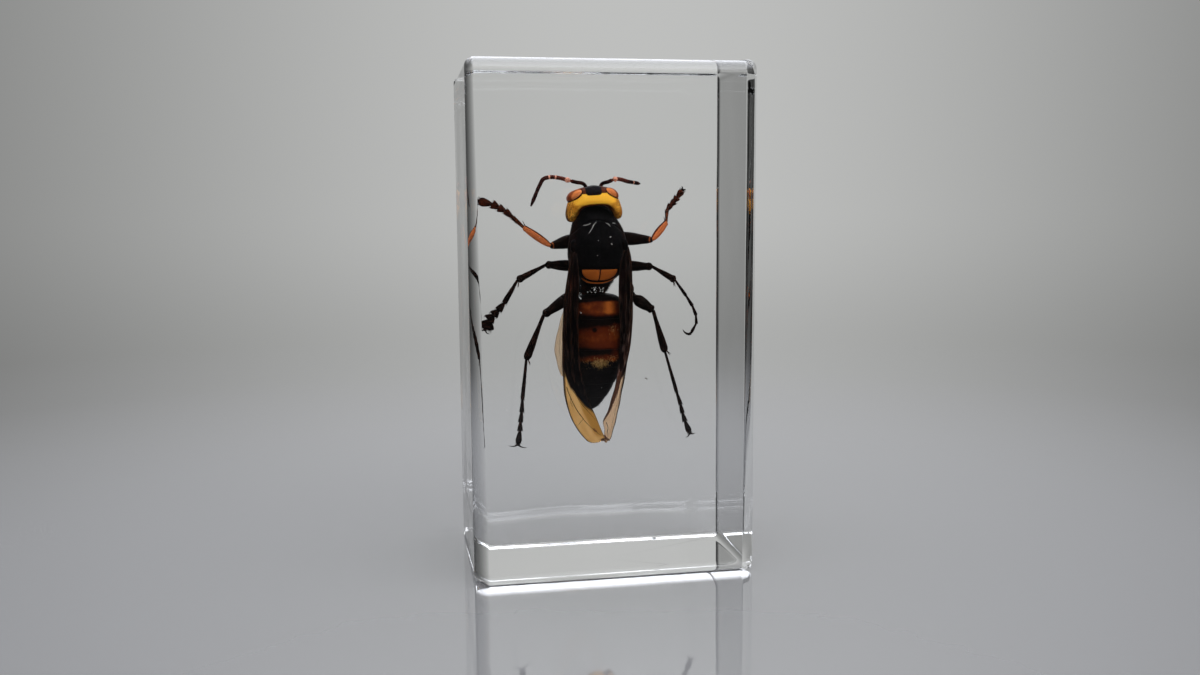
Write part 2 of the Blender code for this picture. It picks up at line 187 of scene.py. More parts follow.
@dataclass
class Shape:
    """A surface in its place's own measures.

    Attributes:
        points: One row of x, y, z for each point.
        faces: Arrays of point numbers, one array for each count of corners.
        masks: A value between 0 and 1 for each point, by the mask's name.
    """

    points: Array
    faces: list[Array]
    masks: dict[str, Array] = field(default_factory=dict)

    @classmethod
    def grid(cls, points: Array, around: bool = False, closed: bool = False, **masks: Array) -> "Shape":
        """A surface of rows and columns of points.

        Args:
            points: Rows by columns by 3.
            around: Whether the last column joins the first.
            closed: Whether the first and last row close on their middle points.
            **masks: Rows by columns of values.

        Returns:
            The surface, facing outwards where it is closed.
        """
        rows, columns = points.shape[:2]
        number = np.arange(rows * columns).reshape(rows, columns)
        after = np.roll(number, -1, axis=1) if around else number[:, 1:]
        here = number if around else number[:, :-1]
        quads = np.stack([here[:-1], after[:-1], after[1:], here[1:]], axis=-1).reshape(-1, 4)
        flat = points.reshape(-1, 3)
        values = {name: np.broadcast_to(mask, (rows, columns)).reshape(-1) for name, mask in masks.items()}
        if not closed:
            return cls(flat, [quads], values)
        first = places(after[0], here[0], len(flat))
        last = places(here[-1], after[-1], len(flat) + 1)
        flat = np.concatenate([flat, [points[0].mean(axis=0), points[-1].mean(axis=0)]])
        values = {name: np.concatenate([mask, [mask[:columns].mean(), mask[-columns:].mean()]])
                  for name, mask in values.items()}
        return cls(flat, [quads, np.concatenate([first, last])], values).outwards()

    @classmethod
    def solid(cls, points: Array, **masks: Array) -> "Shape":
        """A closed surface of rings of points, with masks of rows by columns."""
        return cls.grid(points, around=True, closed=True, **masks)

    def outwards(self) -> "Shape":
        """The same closed surface with its faces turned outwards, told by the sign of its volume."""
        volume = 0.0
        for faces in self.faces:
            corners = self.points[faces]
            for second in range(1, faces.shape[1] - 1):
                volume += float((corners[:, 0] * np.cross(corners[:, second], corners[:, second + 1])).sum())
        if volume < 0.0:
            self.faces = [faces[:, ::-1] for faces in self.faces]
        return self

    def turned(self, centre: Point, turn: Matrix) -> "Shape":
        """The same surface turned about a centre."""
        self.points = (self.points - centre) @ np.asarray(turn).T + centre
        return self

    @classmethod
    def joined(cls, shapes: Sequence["Shape"]) -> "Shape":
        """Several surfaces as one, with a mask of 0 where one of them lacks it."""
        names = {name for shape in shapes for name in shape.masks}
        starts = np.cumsum([0] + [len(shape.points) for shape in shapes])
        faces = [one + start for shape, start in zip(shapes, starts) for one in shape.faces]
        masks = {name: np.concatenate([shape.masks.get(name, np.zeros(len(shape.points))) for shape in shapes])
                 for name in names}
        return cls(np.concatenate([shape.points for shape in shapes]), faces, masks)

    def mesh(self, name: str, place: Place) -> bpy.types.Mesh:
        """The surface as a smooth shaded Blender mesh in the frame, with its masks as attributes."""
        mesh = bpy.data.meshes.new(name)
        corners = [row for faces in self.faces for row in faces.tolist()]
        mesh.from_pydata(place.metres(self.points).tolist(), [], corners)
        for mask, values in self.masks.items():
            attribute = mesh.attributes.new(mask, "FLOAT", "POINT")
            attribute.data.foreach_set("value", np.ascontiguousarray(values, dtype=np.float32))
        mesh.shade_smooth()
        return mesh


def sweep(path: Array, width: Array, thickness: Array, sides: int, reference: Point = (0.0, 1.0, 0.0),
          **masks: Array) -> Shape:
    """A closed tube of oval section carried along a path.

    Each section is width times the cosine along the path's side vector plus thickness times the sine
    along its third vector; both stand square to the path, and the side vector lies square to reference.

    Args:
        path: Points along the middle, in rows.
        width: Half width of each section.
        thickness: Half thickness of each section, measured towards reference.
        sides: Points round a section.
        reference: A direction that the path never runs along.
        **masks: A value for each section, or sections by sides.

    Returns:
        The closed tube.
    """
    along = unit(np.gradient(path, axis=0))
    side = unit(np.cross(along, reference))
    third = np.cross(side, along)
    turn = full_turn(sides)
    width, thickness = np.broadcast_to(width, len(path)), np.broadcast_to(thickness, len(path))
    points = (path[:, None]
              + side[:, None] * (width[:, None] * np.cos(turn))[..., None]
              + third[:, None] * (thickness[:, None] * np.sin(turn))[..., None])
    return Shape.solid(points, **{name: np.asarray(mask).reshape(len(path), -1) for name, mask in masks.items()})


def oval(centre: Point, half: Point, rows: int = 24, columns: int = 32, turn: Matrix | None = None,
         **masks: float) -> Shape:
    """A stretched ball: half sizes times the cosine and sine of a latitude and a longitude."""
    latitude = np.linspace(-0.5, 0.5, rows + 2)[1:-1, None] * math.pi
    longitude = full_turn(columns)[None]
    ring = np.cos(latitude)
    points = places(ring * np.cos(longitude), ring * np.sin(longitude), np.sin(latitude)) * half
    if turn is not None:
        points = points @ np.asarray(turn).T
    return Shape.solid(points + centre, **masks)


def thorns(roots: Array, directions: Array, lengths: Array, radii: Array | float,
           bend: Array | float = 0.0) -> Shape:
    """Many thin spikes, each a closed pyramid on a small triangle.

    The triangle's corners stand round the root at thirds of a turn, square to the spike, and the tip lies
    at root plus direction times length, moved by bend.

    Args:
        roots: Where the spikes stand, in rows.
        directions: Which way they point.
        lengths: How long each is.
        radii: How thick each is at its root, or all are.
        bend: How far each tip is moved aside.

    Returns:
        All the spikes as one surface.
    """
    directions = unit(directions)
    first = unit(np.cross(directions, np.where(np.abs(directions[:, 2:]) < 0.9, (0.0, 0.0, 1.0), (1.0, 0.0, 0.0))))
    second = np.cross(directions, first)
    turn = np.arange(3) * 2.0 * math.pi / 3.0
    radii = np.broadcast_to(radii, len(roots))[:, None]
    base = roots[:, None] + (radii * np.cos(turn))[..., None] * first[:, None]
    base = base + (radii * np.sin(turn))[..., None] * second[:, None]
    tips = roots + directions * lengths[:, None] + bend
    points = np.concatenate([base, tips[:, None]], axis=1).reshape(-1, 3)
    start = np.arange(len(roots))[:, None, None] * 4
    corners = np.array([[0, 1, 3], [1, 2, 3], [2, 0, 3], [2, 1, 0]])
    return Shape(points, [(start + corners).reshape(-1, 3)])


def math_method(operation: str, swapped: bool = False) -> Callable[..., "Wire"]:
    """A method of Wire that adds a Math node on this value and another, or on the two swapped."""
    def method(self: "Wire", other: object = 0.0) -> "Wire":
        """Adds the node."""
        first, second = (other, self) if swapped else (self, other)
        return self.maker.node("Math", {"operation": operation}, {0: first, 1: second})

    return method


@dataclass
class Wire:
    """A shader socket that takes part in Python arithmetic, adding its Math nodes as it goes.

    Attributes:
        maker: The maker of its tree.
        socket: The socket.
    """

    maker: "NodeMaker"
    socket: bpy.types.NodeSocket
    __add__ = __radd__ = math_method("ADD")
    __sub__, __rsub__ = math_method("SUBTRACT"), math_method("SUBTRACT", swapped=True)
    __mul__ = __rmul__ = math_method("MULTIPLY")
    __truediv__ = math_method("DIVIDE")
    __pow__ = math_method("POWER")
    over = math_method("MAXIMUM")
    exp = math_method("EXPONENT")

    def step(self, low: float, high: float) -> "Wire":
        """A soft step from 0 at low to 1 at high."""
        return self.maker.node("MapRange", {"interpolation_type": "SMOOTHSTEP", "clamp": True},
                               {0: self, 1: low, 2: high, 3: 0.0, 4: 1.0})


class NodeMaker:
    """Adds nodes to one tree."""

    def __init__(self, tree: bpy.types.NodeTree) -> None:
        """Keeps the tree and empties it."""
        self.tree = tree
        tree.nodes.clear()

    def node(self, kind: str, settings: Mapping[str, object] | None = None,
             inputs: Mapping[str | int, object] | None = None, output: str | int = 0) -> Wire:
        """Adds a node.

        Args:
            kind: The node's type name, without the ShaderNode before it.
            settings: Its settings, set first; "stops" holds a ramp's places and colours.
            inputs: Values or wires by the socket's name or number.
            output: Which output to give back.

        Returns:
            The output as a wire.
        """
        made = self.tree.nodes.new("ShaderNode" + kind)
        for name, value in (settings or {}).items():
            if name == "stops":
                self._set_stops(made.color_ramp, value)
            else:
                setattr(made, name, value)
        for name, value in (inputs or {}).items():
            socket = made.inputs[name]
            if isinstance(value, Wire):
                self.tree.links.new(value.socket, socket)
            elif isinstance(value, tuple) and len(socket.default_value) == 4 and len(value) == 3:
                socket.default_value = (*value, 1.0)
            else:
                socket.default_value = value
        return Wire(self, made.outputs[output] if made.outputs else None)

    @staticmethod
    def _set_stops(ramp: bpy.types.ColorRamp, stops: Sequence[tuple[float, Colour]]) -> None:
        """Gives a ramp its stops."""
        while len(ramp.elements) < len(stops):
            ramp.elements.new(0.5)
        for element, (place, colour) in zip(ramp.elements, stops):
            element.position = place
            element.color = (*colour, 1.0)

    def place(self) -> Wire:
        """Places on the piece, in metres."""
        return self.node("TexCoord", output="Object")

    def mask(self, name: str) -> Wire:
        """A mask that the mesh carries."""
        return self.node("Attribute", {"attribute_name": name}, output="Fac")

    def noise(self, scale: float, detail: float = 3.0, stretch: Point = (1.0, 1.0, 1.0)) -> Wire:
        """Cloudy noise between 0 and 1.

        Args:
            scale: Clouds in a metre.
            detail: How many finer layers it has.
            stretch: How many times as many clouds there are along x, y and z.

        Returns:
            The noise.
        """
        at = self.node("Mapping", {}, {"Vector": self.place(), "Scale": stretch})
        return self.node("TexNoise", {}, {"Vector": at, "Scale": scale, "Detail": detail})

    def cells(self, scale: float) -> Wire:
        """Distance to the middle of the nearest cell, for pits and facets."""
        return self.node("TexVoronoi", {}, {"Vector": self.place(), "Scale": scale})

    def mix(self, share: object, first: object, second: object) -> Wire:
        """A colour between two, by a share."""
        return self.node("Mix", {"data_type": "RGBA"}, {0: share, 6: first, 7: second}, 2)

    def bump(self, height: object, distance: float) -> Wire:
        """A normal that leans as a height map of that depth in metres would."""
        return self.node("Bump", {}, {"Height": height, "Distance": distance})

    def principled(self, inputs: Mapping[str, object]) -> dict[str, Wire]:
        """A Principled shader with these inputs, as what the material's output takes."""
        return {"Surface": self.node("BsdfPrincipled", {}, inputs)}


@dataclass(frozen=True)
class Finish(ABC):
    """A finish, which makes its material once.

    Attributes:
        name: The material's name.
    """

    name: str

    @cache
    def material(self) -> bpy.types.Material:
        """Builds the material."""
        material = bpy.data.materials.new(self.name)
        material.use_nodes = True
        maker = NodeMaker(material.node_tree)
        maker.node("OutputMaterial", {}, self.outputs(maker))
        return material

    @abstractmethod
    def outputs(self, maker: NodeMaker) -> dict[str, Wire]:
        """Adds the nodes, and gives what the material's output takes, by its sockets' names."""


@dataclass(frozen=True)
class Layer:
    """A colour that a mask lays over a cuticle.

    Attributes:
        mask: The mask's name.
        colour: The colour where the mask is full.
        ragged: How far noise eats into the mask's edge.
        softness: Half the mask's range over which the colour comes in.
        grain: Clouds in a metre of that noise.
    """

    mask: str
    colour: Colour
    ragged: float = 0.25
    softness: float = 0.3
    grain: float = 2500.0


@dataclass(frozen=True)
class Cuticle(Finish):
    """An insect's hard skin: a mottled ground colour, layers by mask, pits and a varied gloss.

    Attributes:
        ground: The darker ground colour.
        lift: The lighter ground colour, in clouds.
        layers: Colours laid over the ground, in order.
        mottle: Clouds in a metre of the ground's mottling.
        pits: Pits in a metre.
        pit_depth: How deep the pits are, in metres.
        roughness: The lowest and highest roughness.
        glow: Weight of light carried under the surface.
    """

    ground: Colour
    lift: Colour
    layers: tuple[Layer, ...] = ()
    mottle: float = 900.0
    pits: float = 7000.0
    pit_depth: float = 0.00002
    roughness: Pair = (0.25, 0.5)
    glow: float = 0.0

    def outputs(self, maker: NodeMaker) -> dict[str, Wire]:
        """The ground, each layer where its mask, torn by noise, is high, and the pits."""
        clouds = maker.noise(self.mottle, 5.0)
        colour = maker.mix(clouds.step(0.35, 0.7), self.ground, self.lift)
        for layer in self.layers:
            torn = maker.mask(layer.mask) + (maker.noise(layer.grain, 4.0) - 0.5) * (2.0 * layer.ragged)
            share = torn.step(0.5 - layer.softness, 0.5 + layer.softness)
            colour = maker.mix(share, colour, layer.colour)
        fine = maker.noise(self.pits * 0.6, 4.0)
        height = maker.cells(self.pits).step(0.0, 0.45) * 0.7 + fine * 0.5
        low, high = self.roughness
        rough = clouds * (high - low) + low
        return maker.principled({
            "Base Color": colour, "Roughness": rough, "Normal": maker.bump(height, self.pit_depth),
            "IOR": CUTICLE_IN_RESIN, "Subsurface Weight": self.glow, "Subsurface Radius": (1.0, 0.4, 0.12),
            "Subsurface Scale": 0.0006})


@dataclass(frozen=True)
class Membrane(Finish):
    """A wing's skin, which tints the light that passes: smoky, then amber towards its tip, with stains.

    Attributes:
        clear: Tint of the amber part.
        inner: Tint of the amber part's golden edge.
        smoky: Darkest tint of the smoky part.
        streak: Tint of the streaks along the smoky part, partly the wing's own brown and partly painted sheen.
        stain: Tint of the stains.
        clarity: Share of the light that passes.
        streakiness: How far the streaks spread.
    """

    clear: Colour = (0.99, 0.61, 0.235)
    inner: Colour = (0.64, 0.32, 0.065)
    smoky: Colour = (0.01, 0.0035, 0.003)
    streak: Colour = (0.17, 0.06, 0.04)
    stain: Colour = (0.2, 0.075, 0.03)
    clarity: float = 0.85
    streakiness: float = 0.0

    def outputs(self, maker: NodeMaker) -> dict[str, Wire]:
        """Amber with a golden edge, darkened in folds; over it the streaked smoke, then the stains."""
        clouds = maker.noise(700.0, 5.0, (1.0, 1.0, 0.35))
        lines = maker.noise(2600.0, 3.0, (1.0, 1.0, 0.07))
        smoke = (maker.mask("smoky") + (clouds - 0.5) * 0.5).step(0.3, 0.7)
        broad = maker.noise(300.0, 2.0, (1.0, 1.0, 0.35))
        # streaks: lighter lines along the smoke, partly painted sheen
        streaks = lines.step(0.5, 0.72) * (broad + self.streakiness).step(0.42, 0.62) * (1.0 - maker.mask("root"))
        dark = maker.mix(streaks, self.smoky, self.streak)
        folds = maker.noise(1000.0, 4.0, (1.0, 1.0, 0.16))
        pale = maker.mix(folds.step(0.36, 0.68) * 0.75, self.clear, tuple(0.88 * part**1.2 for part in self.clear))
        gold = (maker.mask("inner") + (clouds - 0.5) * 0.5).step(0.25, 0.75)
        mottled = (maker.mask("stain") + (maker.noise(3600.0, 5.0) - 0.5) * 2.0).step(0.45, 0.75)
        stained = mottled * maker.mask("stain").step(0.05, 0.3)
        colour = maker.mix(smoke, maker.mix(gold, pale, self.inner), dark)
        wrinkles = maker.noise(1800.0, 3.0, (1.0, 1.0, 0.25))
        return maker.principled({
            "Base Color": maker.mix(stained, colour, self.stain), "Transmission Weight": self.clarity,
            "Roughness": clouds * 0.2 + 0.25, "Normal": maker.bump(wrinkles, 0.00004), "IOR": MEMBRANE_IN_RESIN})


@dataclass(frozen=True)
class ClearResin(Finish):
    """Water-clear casting resin: plain transmission with a faint absorption.

    Attributes:
        tint: Colour of what passes the resin.
        density: How fast the tint comes in, for each metre.
        ripple: Depth of the waves on its faces, in metres.
    """

    name: str = "clear_casting_resin"
    tint: Colour = (0.9, 0.95, 0.93)
    density: float = 3.0
    ripple: float = 0.0001

    def outputs(self, maker: NodeMaker) -> dict[str, Wire]:
        """Polished faces that are not quite flat, and clear inside."""
        waves = maker.noise(55.0, 1.0) + maker.noise(900.0, 2.0) * 0.005
        made = maker.principled({
            "Base Color": (1.0, 1.0, 1.0), "Roughness": 0.0, "IOR": RESIN_IN_AIR,
            "Transmission Weight": 1.0, "Normal": maker.bump(waves, self.ripple)})
        made["Volume"] = maker.node("VolumeAbsorption", {}, {"Color": self.tint, "Density": self.density})
        return made


@dataclass(frozen=True)
class Gloss(Finish):
    """A plain small thing, such as a hair, a bead of air or a speck, mottled between two colours."""

    dark: Colour
    light: Colour
    roughness: float = 0.4

    def outputs(self, maker: NodeMaker) -> dict[str, Wire]:
        """Clouds of the two colours."""
        colour = maker.mix(maker.noise(3000.0).step(0.3, 0.7), self.dark, self.light)
        return maker.principled({"Base Color": colour, "Roughness": self.roughness, "IOR": AIR_IN_RESIN})


@dataclass(frozen=True)
class PaleFloor(Finish):
    """A glossy pale floor, which its mask fades out."""

    name: str = "pale_floor"
    grey: float = 0.17

    def outputs(self, maker: NodeMaker) -> dict[str, Wire]:
        """The floor where the mask is 0, nothing where it is 1."""
        floor = maker.principled({
            "Base Color": (self.grey, self.grey, self.grey * 1.01), "Roughness": 0.04,
            "IOR": 3.5, "Normal": maker.bump(maker.noise(120.0, 2.0), 0.00002)})["Surface"]
        clear = maker.node("BsdfTransparent")
        return {"Surface": maker.node("MixShader", {}, {0: maker.mask("far"), 1: floor, 2: clear})}


HEAD_AMBER = Cuticle(
    "amber_head", (0.56, 0.2, 0.016), (0.86, 0.4, 0.045),
    (
        # bright: a lighter yellow, on the crown's middle partly a painted highlight
        Layer("bright", (1.0, 0.5, 0.042), 0.15, 0.35),
        Layer("speckle", (0.2, 0.085, 0.016), 0.9, 0.16, 5200.0),
        Layer("frons", (0.085, 0.02, 0.008), 0.12, 0.25),
        # rim: the dark rear lip, painted shade on the temples' outer sides and a painted shadow where the eyes meet
        # the capsule
        Layer("rim", (0.036, 0.007, 0.002), 0.14, 0.3),
        # crown: the black crown patch, and painted shade in the neck's hollow
        Layer("crown", (0.004, 0.0025, 0.004), 0.08, 0.1),
    ),
    pits=5200.0, pit_depth=0.00003, roughness=(0.3, 0.5), glow=0.1)
EYE_RED = Cuticle(
    "compound_eye", (0.2, 0.035, 0.007), (0.33, 0.07, 0.012),
    # bright: a painted highlight at the eye's upper end; rim: painted shade along its rear edge, and a dark line
    # across it
    (Layer("bright", (0.68, 0.205, 0.058), 0.22, 0.4, 1500.0), Layer("rim", (0.016, 0.0025, 0.001), 0.05, 0.25)),
    pits=16000.0, pit_depth=0.000012, roughness=(0.3, 0.5), glow=0.1)
THORAX_BLACK = Cuticle(
    "black_thorax", (0.0012, 0.001, 0.0013), (0.0034, 0.0028, 0.0034),
    (
        Layer("brown", (0.03, 0.009, 0.004), 0.4, 0.3),
        Layer("orange", (0.36, 0.088, 0.012), 0.1, 0.14),
        Layer("groove", (0.006, 0.002, 0.0015), 0.05, 0.2),
    ),
    pits=6500.0, pit_depth=0.00003, roughness=(0.25, 0.45))
ABDOMEN_BANDS = Cuticle(
    "banded_abdomen", (0.0014, 0.001, 0.0012), (0.0036, 0.0022, 0.0024),
    (
        Layer("red", (0.085, 0.0125, 0.0022), 0.3, 0.4, 1400.0),
        # orange: the orange bands, with a painted highlight right of the middle on the second and third plates
        Layer("orange", (0.4, 0.1, 0.015), 0.3, 0.45, 1500.0),
        # dark: the dark bands and spot, with painted shade on the flanks and the left side
        Layer("dark", (0.0035, 0.0014, 0.001), 0.22, 0.4, 2200.0),
    ),
    pits=5600.0, pit_depth=0.000025, roughness=(0.25, 0.45))
LEG_BROWN = Cuticle(
    "brown_leg", (0.004, 0.0022, 0.0018), (0.011, 0.005, 0.0036),
    (Layer("red", (0.085, 0.016, 0.0055), 0.35, 0.35), Layer("orange", (0.5, 0.135, 0.042), 0.22, 0.3)),
    pits=6500.0, pit_depth=0.00003, roughness=(0.3, 0.5))
ANTENNA_BROWN = Cuticle(
    "antenna_brown", (0.0085, 0.0032, 0.0036), (0.022, 0.0075, 0.007),
    # pale: the pale pedicel, and painted highlights as rings along the lash
    (Layer("red", (0.12, 0.03, 0.02), 0.3, 0.35), Layer("pale", (0.74, 0.33, 0.22), 0.12, 0.2)),
    pits=9000.0, pit_depth=0.00002, roughness=(0.3, 0.5))
WING_SKIN = Membrane("wing_skin")
# its pale mauve streaks along the right forewing's strip are a painted reflection
PALE_WING_SKIN = Membrane("pale_wing_skin", (0.96, 0.68, 0.44), (0.78, 0.52, 0.33), streak=(0.46, 0.25, 0.2),
                          stain=(0.11, 0.042, 0.024), streakiness=0.12)
LOBE_SKIN = Membrane("wing_lobe_skin", (0.88, 0.68, 0.48), (0.78, 0.48, 0.2), (0.5, 0.25, 0.075), (0.62, 0.36, 0.13))
VEIN_BROWN = Gloss("wing_vein", (0.012, 0.004, 0.0025), (0.045, 0.014, 0.005), 0.4)
# the pale hairs on the shield: their pale colour is a painted highlight
HAIR_PALE_GLINT = Gloss("pale_glint_hair", (0.3, 0.29, 0.27), (0.62, 0.6, 0.56), 0.35)
HAIR_GOLD = Gloss("golden_hair", (0.27, 0.125, 0.026), (0.72, 0.45, 0.16), 0.35)
HAIR_BROWN = Gloss("brown_hair", (0.006, 0.003, 0.002), (0.022, 0.009, 0.005), 0.5)
AIR_BEAD = Gloss("air_bead", (0.55, 0.55, 0.52), (0.95, 0.95, 0.92), 0.12)
BROWN_SCRAP = Gloss("brown_scrap", (0.11, 0.055, 0.028), (0.34, 0.21, 0.12), 0.6)
DARK_SPECK = Gloss("dark_speck", (0.05, 0.04, 0.03), (0.1, 0.08, 0.06), 0.6)
RESIN = ClearResin()


@dataclass
class Bench:
    """Turns shapes into pieces of the object, each on the body with a finish, and counts them."""

    count: int = 0

    def piece(self, name: str, shape: Shape, finish: Finish, slot: Slot, *nodes: str,
              place: Place = INSECT) -> bpy.types.Object:
        """Makes one piece.

        Args:
            name: The piece's name.
            shape: Its surface.
            finish: Its finish.
            slot: The record's slot for the piece; not used.
            *nodes: The solids that it stands for.
            place: Where the surface's measures lie in the frame.

        Returns:
            The object, which rides on the body.
        """
        thing = bpy.data.objects.new(name, shape.mesh(name, place))
        bpy.context.scene.collection.objects.link(thing)
        thing.data.materials.append(finish.material())
        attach(thing, BODY)
        if nodes:
            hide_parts(*nodes)
        self.count += 1
        LOG.info("%s: %d faces on %s", name, len(thing.data.polygons), BODY)
        return thing


@dataclass
class ResinBlock:
    """The clear block: one box in place of the two halves, polished by hand to uneven rounded edges.

    Attributes:
        size: Width, depth and height.
        upright: Rounding of the four upright edges, anticlockwise from the back right one: across the
            block and into it, at the foot and at the top.
        fullness: Power of each upright edge's curve: 2 for an oval, near 1 for a flat bevel.
        rim: Rounding of the lower and the upper edges, at the back and at the front.
        steps: Sections round each edge.
    """

    size: Point = (41.0, 30.5, 74.4)
    upright: tuple[tuple[Pair, Pair], ...] = (
        ((0.3, 1.6), (0.3, 1.6)), ((0.55, 0.55), (0.55, 0.55)), ((2.0, 3.9), (1.1, 2.3)), ((1.8, 0.86), (1.7, 0.8)))
    fullness: tuple[float, float, float, float] = (2.0, 2.0, 1.4, 1.1)
    rim: tuple[Pair, Pair] = ((0.45, 2.0), (0.4, 2.2))
    steps: int = 14

    def build(self, bench: Bench) -> None:
        """Makes the block.

        Seen from above, the outline has four straight sides and four curves, where x and y over the edge's
        rounding, each to the power of its fullness, add up to 1. Towards the top and the bottom the
        rim's arc draws it in. The normal is the curves' own, turned up or down.
        """
        corner = np.repeat([(1.0, 1.0), (-1.0, 1.0), (-1.0, -1.0), (1.0, -1.0)], self.steps, axis=0)
        quarter = np.linspace(0.0, 0.5 * math.pi, self.steps)
        turn = (np.arange(4)[:, None] * 0.5 * math.pi + quarter).ravel()
        power = 2.0 / np.repeat(self.fullness, self.steps)[:, None]
        circle = np.round(np.column_stack([np.cos(turn), np.sin(turn)]), 9)
        curve = np.sign(circle) * np.abs(circle) ** power
        rounding = np.repeat(np.array(self.upright).transpose(1, 0, 2), self.steps, axis=1)
        rounding = np.repeat(rounding, self.steps, axis=0)
        front = smooth_step(0.6, -0.6, np.sin(turn))
        lower, upper = (back + (ahead - back) * front for back, ahead in self.rim)
        rise = np.concatenate([quarter - 0.5 * math.pi, quarter])[:, None]
        rim = np.repeat([lower, upper], self.steps, axis=0)
        level = np.repeat([lower, self.size[2] - upper], self.steps, axis=0)
        draw_in = (rim * (1.0 - np.cos(rise)))[..., None]
        anchor = corner * (np.array(self.size[:2]) / 2.0 - np.maximum(rounding, draw_in))
        outline = anchor + np.maximum(rounding - draw_in, 0.0) * curve
        points = np.concatenate([outline, (level + rim * np.sin(rise))[..., None]], axis=2)
        sideways = unit(np.sign(circle) * np.abs(circle) ** (2.0 - power) / rounding)
        normal = np.concatenate([np.cos(rise)[..., None] * sideways, np.sin(rise)[..., None] + 0.0 * draw_in], axis=2)
        block = bench.piece("resin_block", Shape.solid(points), RESIN, Slot.RESIN, "resin_front", "resin_back",
                            place=FRAME)
        normals = np.concatenate([normal.reshape(-1, 3), [(0.0, 0.0, -1.0), (0.0, 0.0, 1.0)]])
        block.data.normals_split_custom_set_from_vertices(normals.tolist())


